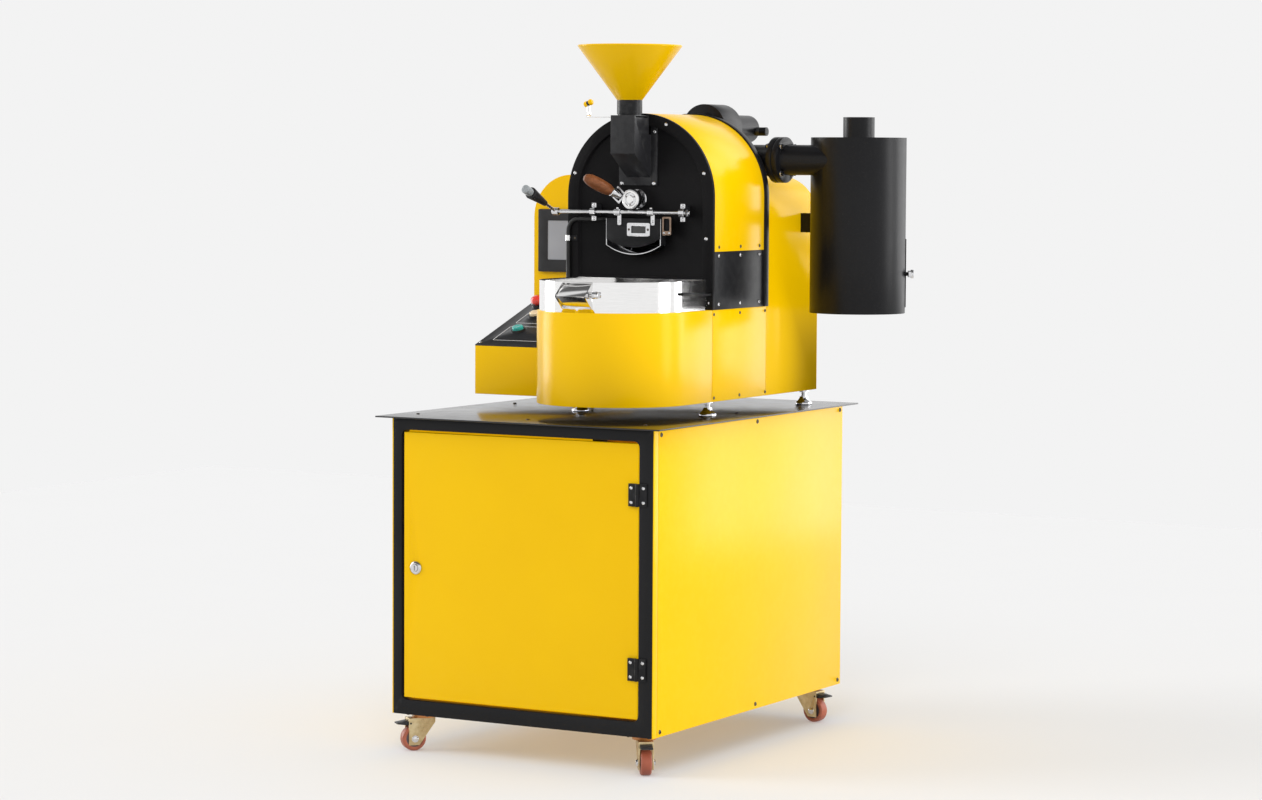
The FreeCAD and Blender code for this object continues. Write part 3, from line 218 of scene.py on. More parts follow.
def brightMetal(name, **values):
    # Plated or polished metal: fine brushing along one way, smudges and hairline marks.
    look = Facts(metalBase, **values)
    m = Maker(name)
    where = m.place()
    brushed = m.noise(m.stretched(where, look.brush), 1.0, 3, 0.6)
    smudge = m.noise(where, 9, 4, 0.6).between(0.35, 0.75)
    color = m.blend(brushed.between(0.3, 0.7) * 0.6 + smudge * 0.4, look.dark, look.light)
    rough = look.rough + brushed.between(0.25, 0.75) * look.roughRange + smudge * look.smudge
    return m.finish(
        Base_Color=color,
        Metallic=1.0,
        Roughness=rough,
        Normal=m.bump(brushed, look.grain, 0.0002),
    )


plasticBase = Facts(rough=0.4, coat=0.0, grain=0.2, grainScale=600, shine=0.5)


def castPlastic(name, **values):
    look = Facts(plasticBase, **values)
    m = Maker(name)
    where = m.place()
    grain = m.noise(where, look.grainScale, 2)
    cloud = m.noise(where, 30, 3)
    wear = m.edges().between(0.53, 0.6) * 0.35
    color = m.blend(cloud.between(0.3, 0.7), look.dark, look.light)
    color = m.blend(wear, color, look.worn)
    return m.finish(
        Base_Color=color,
        Roughness=look.rough + (grain - 0.5) * 0.12,
        Coat_Weight=look.coat,
        Specular_IOR_Level=look.shine,
        Normal=m.bump(grain, look.grain, 0.0003),
    )


def turnedWood(name, **values):
    look = Facts(values)
    m = Maker(name)
    where = m.place()
    along = m.stretched(where, look.stretch)
    rings = m.noise(along, 1.0, 5, 0.6, 1.2)
    pores = m.noise(m.stretched(where, look.pores), 1.0, 2)
    color = m.blend(rings.between(0.3, 0.7), look.dark, look.light)
    color = m.blend(pores.between(0.56, 0.66) * 0.6, color, look.pore)
    return m.finish(
        Base_Color=color,
        Roughness=0.36 + (rings - 0.5) * 0.2,
        Coat_Weight=0.06,
        Specular_IOR_Level=0.25,
        Normal=m.bump(pores, 0.2, 0.0004),
    )


yellow = paintCoat(
    "yellowCoat", dark=(0.85, 0.5, 0.0), light=(0.87, 0.52, 0.0), speck=(0.95, 0.66, 0.05), rough=0.22,
    coatRough=0.08, peel=0.06, peelScale=340, specks=0.15, haze=0.03, wear=0.15, shine=0.14,
)
blackSatin = paintCoat(
    "blackSatin", dark=(0.005, 0.005, 0.006), light=(0.008, 0.008, 0.009), speck=(0.06, 0.06, 0.06),
    rough=0.33, shine=0.2,
)
blackGloss = paintCoat(
    "blackGloss", dark=(0.005, 0.005, 0.006), light=(0.009, 0.009, 0.01), speck=(0.1, 0.1, 0.1), coat=0.1,
    coatRough=0.03, peel=0.03, peelScale=260, specks=0.2, wear=0.2,
)
blackPlate = paintCoat(
    "blackPlate", dark=(0.006, 0.006, 0.0065), light=(0.009, 0.0085, 0.009), speck=(0.05, 0.05, 0.05),
    rough=0.36, shine=0.07,
)
blackSheet = paintCoat(
    "blackSheet", dark=(0.011, 0.011, 0.012), light=(0.016, 0.016, 0.018), speck=(0.08, 0.08, 0.08),
    rough=0.3, wear=0.3, shine=0.3,
)
orangePlate = paintCoat(
    "orangePlate", dark=(0.42, 0.13, 0.02), light=(0.6, 0.24, 0.05), speck=(0.7, 0.5, 0.3), rough=0.32,
    coat=0.2, peel=0.1, peelScale=300, haze=0.1, wear=0.5,
)
whitePrint = paintCoat(
    "whitePrint", dark=(0.66, 0.66, 0.66), light=(0.78, 0.78, 0.78), speck=(0.9, 0.9, 0.9), rough=0.5,
    peel=0.05, peelScale=500, specks=0.1, haze=0.05, wear=0.1, shine=0.3,
)
screenGlass = paintCoat(
    "screenGlass", dark=(0.3, 0.31, 0.34), light=(0.4, 0.41, 0.44), speck=(0.5, 0.5, 0.5), coat=0.5,
    coatRough=0.05, peel=0.0, peelScale=300, specks=0.05, haze=0.04, wear=0.0,
)
smokedGlass = paintCoat(
    "smokedGlass", dark=(0.005, 0.005, 0.006), light=(0.012, 0.011, 0.01), speck=(0.1, 0.08, 0.05),
    rough=0.06, coat=0.6, coatRough=0.02, peel=0.0, peelScale=300, specks=0.2, haze=0.05, wear=0.0,
)
mirrorSteel = brightMetal(
    "mirrorSteel", dark=(0.8, 0.795, 0.79), light=(0.88, 0.875, 0.87), brush=(40, 40, 700), rough=0.05,
    roughRange=0.05, smudge=0.05, grain=0.02,
)
chrome = brightMetal(
    "chrome", dark=(0.6, 0.6, 0.61), light=(0.8, 0.8, 0.81), brush=(300, 300, 300), rough=0.08,
    roughRange=0.06, smudge=0.06, grain=0.03,
)
brushedSteel = brightMetal(
    "brushedSteel", dark=(0.42, 0.42, 0.43), light=(0.6, 0.6, 0.61), brush=(900, 60, 60), rough=0.24,
    smudge=0.08, grain=0.25,
)
zincPlate = brightMetal(
    "zincPlate", dark=(0.46, 0.33, 0.16), light=(0.8, 0.68, 0.42), brush=(70, 70, 70), rough=0.22,
)
bronzePlate = brightMetal(
    "bronzePlate", dark=(0.2, 0.13, 0.09), light=(0.42, 0.32, 0.25), brush=(160, 160, 160), rough=0.25,
    roughRange=0.15,
)
castMetal = brightMetal(
    "castMetal", dark=(0.16, 0.16, 0.165), light=(0.26, 0.26, 0.27), brush=(260, 260, 260), rough=0.4,
    roughRange=0.2, grain=0.4,
)
darkScrew = brightMetal(
    "darkScrew", dark=(0.07, 0.06, 0.05), light=(0.2, 0.17, 0.13), brush=(400, 400, 400), rough=0.3,
    roughRange=0.15,
)
blackPlastic = castPlastic(
    "blackPlastic", dark=(0.012, 0.012, 0.013), light=(0.02, 0.02, 0.022), worn=(0.06, 0.06, 0.06),
    rough=0.42, grainScale=900, shine=0.35,
)
greyPlastic = castPlastic(
    "greyPlastic", dark=(0.2, 0.22, 0.23), light=(0.3, 0.32, 0.33), worn=(0.4, 0.42, 0.42), coat=0.1,
    grainScale=1200,
)
tealPlastic = castPlastic(
    "tealPlastic", dark=(0.0, 0.24, 0.2), light=(0.004, 0.36, 0.31), worn=(0.2, 0.6, 0.55), rough=0.22,
    coat=0.4, grain=0.04,
)
creamPlastic = castPlastic(
    "creamPlastic", dark=(0.72, 0.56, 0.32), light=(0.82, 0.68, 0.44), worn=(0.9, 0.86, 0.76), rough=0.26,
    coat=0.3, grain=0.04,
)
redPlastic = castPlastic(
    "redPlastic", dark=(0.62, 0.02, 0.012), light=(0.8, 0.04, 0.02), worn=(0.8, 0.2, 0.15), rough=0.25,
    coat=0.4, grain=0.04,
)
tread = castPlastic(
    "tread", dark=(0.26, 0.06, 0.03), light=(0.36, 0.09, 0.045), worn=(0.45, 0.25, 0.18), rough=0.45,
    grain=0.3, grainScale=500,
)
hubPlastic = castPlastic(
    "hubPlastic", dark=(0.06, 0.045, 0.05), light=(0.1, 0.08, 0.085), worn=(0.2, 0.17, 0.17),
    grainScale=700, shine=0.4,
)
rubberBlack = castPlastic(
    "rubberBlack", dark=(0.01, 0.01, 0.01), light=(0.017, 0.017, 0.017), worn=(0.05, 0.05, 0.05), rough=0.5,
    grain=0.3, grainScale=800, shine=0.4,
)
wood = turnedWood(
    "wood", dark=(0.13, 0.042, 0.014), light=(0.25, 0.088, 0.032), pore=(0.07, 0.024, 0.012),
    stretch=(60, 40, 90), pores=(700, 300, 500),
)

finishes = {
    "yellow": yellow, "black_gloss": blackGloss, "black_satin": blackSatin, "chrome": chrome,
    "zinc": zincPlate,
    "orange": orangePlate, "steel": brushedSteel, "cast_iron": castMetal, "aluminium": castMetal,
    "polished": mirrorSteel,
    "wood": wood, "rubber_black": rubberBlack, "teal_plastic": tealPlastic, "dark_screws": darkScrew,
    "cream_plastic": creamPlastic, "red_plastic": redPlastic, "tread": tread, "black_plastic": blackPlastic,
}
print("materials made")


# Shapes. All are drawn in mm from the cabinet's front, and set in the row frame by addPiece.
rowFromDrawing = Matrix.Translation(at(0, 0, 0)) @ Matrix.Scale(0.001, 4)


def addPiece(name, bm, material, body, smooth=35, drawn=True):
    if drawn:
        bm.transform(rowFromDrawing)
    mesh = bpy.data.meshes.new(name)
    bm.to_mesh(mesh)
    bm.free()
    mesh.shade_smooth()
    mesh.set_sharp_from_angle(angle=math.radians(smooth))
    mesh.materials.append(material)
    piece = bpy.data.objects.new(name, mesh)
    bpy.context.scene.collection.objects.link(piece)
    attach(piece, body)
    return piece


def joinUp(*parts):
    # One bmesh from several.
    whole = bmesh.new()
    for part in parts:
        mesh = bpy.data.meshes.new("part")
        part.to_mesh(mesh)
        part.free()
        whole.from_mesh(mesh)
        bpy.data.meshes.remove(mesh)
    return whole


def aimed(spot, aim=(0, 0, 1), twist=0.0):
    # The placing that turns Z to the given direction.
    turn = Vector(aim).to_track_quat("Z", "Y").to_matrix().to_4x4()
    return Matrix.Translation(Vector(spot)) @ turn @ Matrix.Rotation(twist, 4, "Z")


def lathe(points, spot=(0, 0, 0), aim=(0, 0, 1), segments=64, ring=False):
    # A turned form from an outline of radius and height. A ring's outline is closed.
    bm = bmesh.new()
    rows = []
    for radius, height in points:
        if radius < 0.0001:
            rows.append([bm.verts.new((0, 0, height))])
            continue
        angles = [2 * math.pi * k / segments for k in range(segments)]
        rows.append([bm.verts.new((radius * math.cos(a), radius * math.sin(a), height)) for a in angles])
    pairs = list(zip(rows, rows[1:]))
    if ring:
        pairs.append((rows[-1], rows[0]))
    for low, high in pairs:
        for k in range(segments):
            n = (k + 1) % segments
            if len(low) == 1 and len(high) == 1:
                break
            if len(low) == 1:
                bm.faces.new((low[0], high[k], high[n]))
            elif len(high) == 1:
                bm.faces.new((low[k], low[n], high[0]))
            else:
                bm.faces.new((low[k], low[n], high[n], high[k]))
    bmesh.ops.recalc_face_normals(bm, faces=bm.faces)
    bm.transform(aimed(spot, aim))
    return bm


def rounded(points, radius, steps=3, closed=True):
    # Rounds the corners of an outline.
    result = []
    count = len(points)
    for k, point in enumerate(points):
        here = Vector(point)
        if not closed and k in (0, count - 1):
            result.append(tuple(here))
            continue
        before = Vector(points[k - 1]) - here
        after = Vector(points[(k + 1) % count]) - here
        turn = before.angle(after)
        if turn > math.radians(172):
            result.append(tuple(here))
            continue
        reach = min(radius / math.tan(turn / 2), 0.45 * before.length, 0.45 * after.length)
        start, end = here + before.normalized() * reach, here + after.normalized() * reach
        for n in range(steps + 1):
            t = n / steps
            result.append(tuple((1 - t) ** 2 * start + 2 * t * (1 - t) * here + t * t * end))
    return result


def arc(centre, radius, start, end, steps):
    angles = [math.radians(start + (end - start) * k / steps) for k in range(steps + 1)]
    return [(centre[0] + radius * math.cos(a), centre[1] + radius * math.sin(a)) for a in angles]


# Where the two numbers of an outline and its depth go.
planes = {
    "front": lambda u, v, d: (u, d, v),
    "side": lambda u, v, d: (d, u, v),
    "flat": lambda u, v, d: (u, v, d),
}


def eased(bm, width, steps=2, angle=35):
    # Rounds the sharp edges.
    sharp = [e for e in bm.edges if len(e.link_faces) == 2 and e.calc_face_angle(0) > math.radians(angle)]
    bmesh.ops.bevel(
        bm, geom=sharp, offset=width, segments=steps, profile=0.5, affect="EDGES", clamp_overlap=True
    )
    return bm


def plate(outline, plane, start, end, edge=0.6, steps=2):
    bm = bmesh.new()
    spot = planes[plane]
    near = [bm.verts.new(spot(u, v, start)) for u, v in outline]
    far = [bm.verts.new(spot(u, v, end)) for u, v in outline]
    bm.faces.new(near)
    bm.faces.new(far)
    for k in range(len(outline)):
        n = (k + 1) % len(outline)
        bm.faces.new((near[k], near[n], far[n], far[k]))
    bmesh.ops.recalc_face_normals(bm, faces=bm.faces)
    return eased(bm, edge, steps) if edge else bm


def ringPlate(outer, inner, plane, start, end, edge=0.6, steps=2):
    # A plate with one opening. Both outlines have the same number of points.
    bm = bmesh.new()
    spot = planes[plane]
    rows = [
        [bm.verts.new(spot(u, v, d)) for u, v in line] for line,
        d in ((outer, start), (outer, end), (inner, end), (inner, start))
    ]
    for k in range(len(outer)):
        n = (k + 1) % len(outer)
        for low, high in zip(rows, rows[1:] + rows[:1]):
            bm.faces.new((low[k], low[n], high[n], high[k]))
    bmesh.ops.recalc_face_normals(bm, faces=bm.faces)
    return eased(bm, edge, steps) if edge else bm


def corners(u0, u1, v0, v1, radius=0.0, steps=5):
    box = [(u0, v0), (u1, v0), (u1, v1), (u0, v1)]
    return rounded(box, radius, steps) if radius else box


def block(x0, x1, y0, y1, z0, z1, edge=0.6, steps=2):
    return plate(corners(x0, x1, y0, y1), "flat", z0, z1, edge, steps)


def swept(points, radius, segments=20, caps=True):
    # A round bar along a line of points.
    bm = bmesh.new()
    path = [Vector(p) for p in points]
    up = Vector((0, 0, 1)) if abs((path[1] - path[0]).normalized().z) < 0.9 else Vector((1, 0, 0))
    rows = []
    for k, here in enumerate(path):
        ahead = (path[min(k + 1, len(path) - 1)] - path[max(k - 1, 0)]).normalized()
        side = ahead.cross(up).normalized()
        up = side.cross(ahead).normalized()
        angles = [2 * math.pi * n / segments for n in range(segments)]
        rows.append([bm.verts.new(here + radius * (math.cos(a) * side + math.sin(a) * up)) for a in angles])
    for low, high in zip(rows, rows[1:]):
        for k in range(segments):
            n = (k + 1) % segments
            bm.faces.new((low[k], low[n], high[n], high[k]))
    if caps:
        bm.faces.new(rows[0])
        bm.faces.new(rows[-1])
    bmesh.ops.recalc_face_normals(bm, faces=bm.faces)
    return bm


def softened(name, bm, width, segments=2, angle=35):
    # Rounds the sharp edges of a CAD copy and gives the mesh back.
    mesh = bpy.data.meshes.new(name)
    bm.to_mesh(mesh)
    bm.free()
    worker = bpy.data.objects.new(name, mesh)
    bpy.context.scene.collection.objects.link(worker)
    bevel = worker.modifiers.new("edges", "BEVEL")
    bevel.width = width
    bevel.segments = segments
    bevel.limit_method = "ANGLE"
    bevel.angle_limit = math.radians(angle)
    bevel.use_clamp_overlap = True
    graph = bpy.context.evaluated_depsgraph_get()
    result = bpy.data.meshes.new_from_object(worker.evaluated_get(graph))
    bpy.data.objects.remove(worker)
    out = bmesh.new()
    out.from_mesh(result)
    bpy.data.meshes.remove(result)
    return out


def fromNode(nodeName):
    # A merged copy of a CAD node, with flat faces joined up.
    bm = bmesh.new()
    bm.from_mesh(nodes[nodeName].data)
    bmesh.ops.remove_doubles(bm, verts=bm.verts, dist=0.00001)
    bmesh.ops.dissolve_limit(
        bm, angle_limit=math.radians(0.4), use_dissolve_boundaries=False, verts=bm.verts, edges=bm.edges
    )
    return bm


def dress(nodeName, width=0.6, segments=2, material=None, angle=35, smooth=35):
    # The CAD form itself, with eased edges.
    bm = fromNode(nodeName)
    if width:
        bm = softened(nodeName, bm, width / 1000, segments, angle)
    material = material or finishes[slotOf[nodeName]]
    piece = addPiece(
        nodeName + "_form", bm, material, bodyOf[nodeName], smooth, drawn=False
    )
    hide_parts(nodeName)
    return piece


def build(nodeName, bm, suffix="form", material=None, smooth=35, stands=True):
    # A piece drawn here that belongs to a CAD node, and by default stands for it.
    material = material or finishes[slotOf[nodeName]]
    piece = addPiece(f"{nodeName}_{suffix}", bm, material, bodyOf[nodeName], smooth)
    if stands:
        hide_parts(nodeName)
    return piece


# Screw heads, set on a list of places by a node group
def headMesh(name, bm):
    mesh = bpy.data.meshes.new(name)
    bm.to_mesh(mesh)
    bm.free()
    mesh.shade_smooth()
    mesh.set_sharp_from_angle(angle=math.radians(40))
    return bpy.data.objects.new(name, mesh)


# Heads of radius 1: a dome with a hollow socket, and six flats on a washer.
domeLine = (
    (0, 0.12), (0.36, 0.12), (0.42, 0.42), (0.56, 0.44), (0.82, 0.3), (1, 0), (0.98, -0.08), (0, -0.08)
)
hexLine = ((0, 0.66), (0.7, 0.66), (0.9, 0.56), (0.94, 0.16), (0, 0.16))
washerLine = ((0, 0.18), (1.1, 0.18), (1.16, 0.12), (1.16, -0.04), (0, -0.04))
domeHead = headMesh("domeHead", lathe(domeLine, segments=24))
hexHead = headMesh("hexHead", joinUp(lathe(hexLine, segments=6), lathe(washerLine, segments=24)))


def scatterGroup():
    group = bpy.data.node_groups.new("setHeads", "GeometryNodeTree")
    sockets = (
        ("Geometry", "Geometry"), ("Head", "Object"), ("Size", "Float"), ("Seed", "Int"),
        ("Material", "Material")
    )
    for name, kind in sockets:
        group.interface.new_socket(name, in_out="INPUT", socket_type="NodeSocket" + kind)
    group.interface.new_socket("Geometry", in_out="OUTPUT", socket_type="NodeSocketGeometry")

    def node(kind, **settings):
        made = group.nodes.new(kind)
        for key, value in settings.items():
            setattr(made, key, value)
        return made

    start, end = node("NodeGroupInput"), node("NodeGroupOutput")
    aim = node("GeometryNodeInputNamedAttribute", data_type="FLOAT_VECTOR")
    aim.inputs["Name"].default_value = "aim"
    face3 = node("FunctionNodeAlignRotationToVector", axis="Z")
    info = node("GeometryNodeObjectInfo")
    spots = node("GeometryNodeInstanceOnPoints")
    turn = node("FunctionNodeRandomValue", data_type="FLOAT")
    turn.inputs["Max"].default_value = 6.2832
    axis = node("ShaderNodeCombineXYZ")
    rotate = node("GeometryNodeRotateInstances")
    rotate.inputs["Local Space"].default_value = True
    real = node("GeometryNodeRealizeInstances")
    paint = node("GeometryNodeSetMaterial")
    wires = (
        (start, "Geometry", spots, "Points"), (start, "Head", info, "Object"),
        (info, "Geometry", spots, "Instance"),
        (aim, None, face3, "Vector"), (face3, "Rotation", spots, "Rotation"), (start, "Size", spots, "Scale"),
        (start, "Seed", turn, "Seed"), (turn, None, axis, "Z"), (spots, "Instances", rotate, "Instances"),
        (axis, "Vector", rotate, "Rotation"), (rotate, "Instances", real, "Geometry"),
        (real, "Geometry", paint, "Geometry"), (start, "Material", paint, "Material"),
        (paint, "Geometry", end, "Geometry"),
    )
    for source, name, target, socket in wires:
        output = source.outputs[name] if name else next(o for o in source.outputs if o.enabled)
        group.links.new(output, target.inputs[socket])
    return group


headGroup = scatterGroup()


def scatter(name, spots, body, material, radius, head=domeHead, seed=1):
    # spots is a list of places with the direction that each head faces, in mm.
    mesh = bpy.data.meshes.new(name + "Spots")
    mesh.from_pydata([at(*spot) for spot, aim in spots], [], [])
    aims = mesh.attributes.new("aim", "FLOAT_VECTOR", "POINT")
    for k, (spot, aim) in enumerate(spots):
        aims.data[k].vector = Vector(aim).normalized()
    worker = bpy.data.objects.new(name + "Worker", mesh)
    bpy.context.scene.collection.objects.link(worker)
    modifier = worker.modifiers.new("heads", "NODES")
    modifier.node_group = headGroup
    values = {"Head": head, "Size": radius / 1000, "Seed": seed, "Material": material}
    for item in headGroup.interface.items_tree:
        if item.in_out == "INPUT" and item.name in values:
            modifier[item.identifier] = values[item.name]
    graph = bpy.context.evaluated_depsgraph_get()
    result = bpy.data.meshes.new_from_object(worker.evaluated_get(graph))
    worker.modifiers.remove(modifier)
    bpy.data.objects.remove(worker)
    bm = bmesh.new()
    bm.from_mesh(result)
    bpy.data.meshes.remove(result)
    return addPiece(name, bm, material, body, smooth=40, drawn=False)


print("tools ready")


# Cabinet
frameFacts = Facts(post=25, left=-278, right=267, foot=107, top=650, corner=14, outerCorner=3, edge=1.4)


def makeFrame(f):
    low, high = span("cabinet_frame")
    post, edge = f.post, f.edge
    outer = corners(low.x, high.x, low.z, high.z, f.outerCorner)
    inner = corners(f.left, f.right, f.foot, f.top, f.corner)
    parts = [ringPlate(outer, inner, "front", low.y, low.y + post, edge)]
    back = high.y - post
    for x in (low.x, high.x - post):
        parts.append(block(x, x + post, back, high.y, low.z, high.z, edge))
        for z in (low.z, high.z - post):
            parts.append(block(x, x + post, low.y + post, back, z, z + post, edge))
    for z in (low.z, high.z - post):
        parts.append(block(low.x + post, high.x - post, back, high.y, z, z + post, edge))
    build("cabinet_frame", joinUp(*parts))


makeFrame(frameFacts)

sheetFacts = Facts(sheet=2, fold=17, seam=0.8, shelf=102, shelfInset=25, edge=0.5)


def makeSheets(f):
    low, high = span("cabinet_panels")
    sheet, edge, gap = f.sheet, f.edge, f.seam / 2
    parts = []
    for x in (low.x, high.x - sheet):
        parts.append(block(x, x + sheet, low.y, low.y + f.fold - gap, low.z, high.z, edge))
        parts.append(block(x, x + sheet, low.y + f.fold + gap, high.y, low.z, high.z, edge))
    parts.append(block(low.x + sheet, high.x - sheet, high.y - sheet, high.y, low.z, high.z, edge))
    inset = f.shelfInset
    parts.append(block(low.x + sheet, high.x - sheet, inset, high.y - inset, f.shelf, f.shelf + sheet, edge))
    build("cabinet_panels", joinUp(*parts))


makeSheets(sheetFacts)
topFacts = Facts(edge=0.9)
low, high = span("cabinet_top_plate")
build("cabinet_top_plate", block(low.x, high.x, low.y, high.y, low.z, high.z, topFacts.edge, 3))
dress("cabinet_door", 1.4, 3)
dress("hinge_frame_leaves", 0.5)
dress("hinge_door_leaves", 0.5)

hingeScrewFacts = Facts(radius=3.6, heights=(209, 547), half=14, frameX=278.5, doorX=252, y=-4.0)


def makeHingeScrews(f):
    onFrame, onDoor = [], []
    for z in f.heights:
        for step in (-f.half, f.half):
            onFrame.append(((f.frameX, f.y, z + step), (0, -1, 0)))
            onDoor.append(((f.doorX, f.y, z + step), (0, -1, 0)))
    scatter("hinge_screws_frame", onFrame, "frame", chrome, f.radius, seed=3)
    scatter("hinge_screws_door", onDoor, "door", chrome, f.radius, seed=4)


makeHingeScrews(hingeScrewFacts)

lockFacts = Facts(x=-245, z=374, face=2, bore=7.05, body=9.5, depth=24, flange=14, proud=5)


def makeLock(f):
    outline = [
        (f.bore, -f.depth),
        (f.body, -f.depth),
        (f.body, 0),
        (f.flange, 0),
        (f.flange, 1.2),
        (f.flange - 1.6, f.proud - 1.4),
        (f.body + 0.4, f.proud),
        (f.body - 1.2, f.proud - 0.3),
        (f.bore, f.proud - 1.2),
    ]
    build("lock_barrel", lathe(outline, (f.x, f.face, f.z), (0, -1, 0), 72, ring=True))


makeLock(lockFacts)
dress("lock_plug", 0.3)

cabinetScrewFacts = Facts(radius=4.6, sideY=(28, 427, 805), sideZ=(87, 663), side=300, topRadius=4.2)
topScrewSpots = ((-278, 60), (-271, 420), (-16, 54), (247, 59), (250, 433))


def makeCabinetScrews(f):
    sides = []
    for y in f.sideY:
        for z in f.sideZ:
            sides.append(((f.side, y, z), (1, 0, 0)))
            sides.append(((-f.side, y, z), (-1, 0, 0)))
    piece = scatter("panel_screws_sides", sides, "frame", darkScrew, f.radius, seed=5)
    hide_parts("panel_screws")
    tops = [((x, y, 677), (0, 0, 1)) for x, y in topScrewSpots]
    scatter("panel_screws_top", tops, "frame", darkScrew, f.topRadius, seed=6)


makeCabinetScrews(cabinetScrewFacts)
print("cabinet made")

# Casters
casterPlaces = ((-255, 48, 230), (255, 48, 305), (-245, 770, 140), (245, 770, 350))
wheelFacts = Facts(
    radius=25, half=11, bore=5.05, trail=23, rimIn=17, hubHalf=8.6, boss=9.5, nut=6.4, nutAt=15,
    plateBolt=3.4, plateSpread=23,
)


def makeCaster(number, place, f):
    x, y, degrees = place
    turn = math.radians(degrees)
    ahead = Vector((math.cos(turn), math.sin(turn), 0))
    across = Vector((-ahead.y, ahead.x, 0))
    hub = Vector((x, y, f.radius)) + ahead * f.trail
    radius, half = f.radius, f.half
    tyre = [
        (f.rimIn, -half + 1.6), (f.rimIn + 3, -half), (radius - 2.4, -half + 0.6), (radius - 0.6, -half + 2),
        (radius, -half + 4), (radius, half - 4), (radius - 0.6, half - 2), (radius - 2.4, half - 0.6),
        (f.rimIn + 3, half), (f.rimIn, half - 1.6),
    ]
    web, boss = f.hubHalf, f.boss
    centre = [
        (f.bore, -half), (boss - 1, -half), (boss, -half + 0.8), (boss + 0.8, -web), (f.rimIn - 1, -web),
        (f.rimIn + 0.1, -half + 1.7), (f.rimIn + 0.1, half - 1.7), (f.rimIn - 1, web), (boss + 0.8, web),
        (boss, half - 0.8), (boss - 1, half), (f.bore, half),
    ]
    build(f"caster_wheel_{number}", lathe(tyre, hub, across, 72, ring=True))
    build(
        f"caster_wheel_{number}", lathe(centre, hub, across, 72, ring=True), "hub", hubPlastic, stands=False
    )
    dress(f"caster_fork_{number}", 0.7)
    dress(f"caster_pedal_{number}", 0.6)
    nuts = [(hub + across * side * f.nutAt, across * side) for side in (-1, 1)]
    scatter(f"axle_nuts_{number}", nuts, f"swivel_{number}", chrome, f.nut, hexHead, number)


for number, place in enumerate(casterPlaces, 1):
    makeCaster(number, place, wheelFacts)
dress("caster_plates", 0.7)
plateBolts = []
for x, y, degrees in casterPlaces:
    for across in (-1, 1):
        for along in (-1, 1):
            reach = wheelFacts.plateSpread
            plateBolts.append(((x + across * reach, y + along * reach, 74), (0, 0, -1)))
scatter("caster_bolts", plateBolts, "frame", darkScrew, wheelFacts.plateBolt, hexHead, 9)
print("casters made")

# Base, housing, casing
baseFacts = Facts(x=99, y=200, radius=157, seam=314.5, gap=0.5, wall=2, edge=1.0, steps=96)


def planLine(f, back, inset):
    line = arc((f.x, f.y), f.radius - inset, 180, 360, f.steps)
    right, left = f.x + f.radius - inset, f.x - f.radius + inset
    return line + [(right, back - inset), (left, back - inset)]


def makeBase(f):
    low, high = span("base_panels")
    wall, gap, seam = f.wall, f.gap, f.seam
    front = ringPlate(
        planLine(f, seam - gap, 0), planLine(f, seam - gap, wall), "flat", low.z, high.z, f.edge
    )
    left, right = f.x - f.radius, f.x + f.radius
    outer = corners(left, right, seam + gap, high.y - 0.4)
    inner = corners(left + wall, right - wall, seam + gap + wall, high.y - 0.4 - wall)
    middle = ringPlate(outer, inner, "flat", low.z, high.z, f.edge)
    decks = [
        plate(planLine(f, high.y - 0.4, wall + 0.05), "flat", z, z + wall, 0.3) for z in (
            low.z, high.z - wall
        )
    ]
    build("base_panels", joinUp(front, middle, *decks))


makeBase(baseFacts)

footFacts = Facts(
    pad=18, stud=6, collar=11, spots=((-47, 310), (232, 340), (-272, 740), (247, 740)), foot=677, top=707
)


def makeFeet(f):
    stud, foot, top = f.stud, f.foot, f.top
    pad = f.pad
    outline = [
        (0, foot), (pad - 1.4, foot), (pad, foot + 1.2), (pad, foot + 4), (pad - 1, foot + 5.5),
        (pad - 4, foot + 8),
        (pad - 7, foot + 11), (pad - 8.6, foot + 14.4), (pad - 9, foot + 17), (stud, foot + 17.2),
    ]
    for k in range(3):
        z = foot + 17.6 + 2.4 * k
        outline += [(stud, z), (stud - 0.8, z + 0.8), (stud, z + 1.6)]
    outline += [
        (stud, top - 4), (f.collar - 0.6, top - 4), (f.collar, top - 3.4), (f.collar, top - 0.1),
        (0, top - 0.1)
    ]
    build(
        "levelling_feet", joinUp(*(lathe(outline, (x, y, 0), segments=48) for x, y in f.spots)),
        material=chrome
    )


makeFeet(footFacts)
dress("rear_housing", 1.2, 3)

wrapFacts = Facts(wall=2, edge=0.5, steps=96)


def archLine(radius, foot, steps):
    centreX, centreZ = archCentre
    return [(centreX - radius, foot)] + arc((centreX, centreZ), radius, 180, 0, steps) + [
        (centreX + radius, foot)
    ]


archCentre = (90, 1114.5)


def makeWrap(f):
    low, high = span("arch_wrap")
    radius = (high.x - low.x) / 2
    outer = archLine(radius, low.z, f.steps)
    inner = archLine(radius - f.wall, low.z, f.steps)
    build("arch_wrap", plate(outer + inner[::-1], "front", low.y, high.y, f.edge))


makeWrap(wrapFacts)
dress("front_plate", 0.7, material=blackPlate)
dress("drum_rear_plate", 0.8)
dress("side_access_panels", 0.5)

casingScrewFacts = Facts(radius=3.9, yellowRadius=3.4, side=258, panelY=(336, 428, 511), baseSide=256)
flangeScrewSpots = ((-61, 1162), (149, 1260), (236, 1163), (242, 1033), (246.5, 905))
baseScrewSpots = ((320, 882), (431, 882), (541, 882), (322, 715), (431, 715), (544, 715))


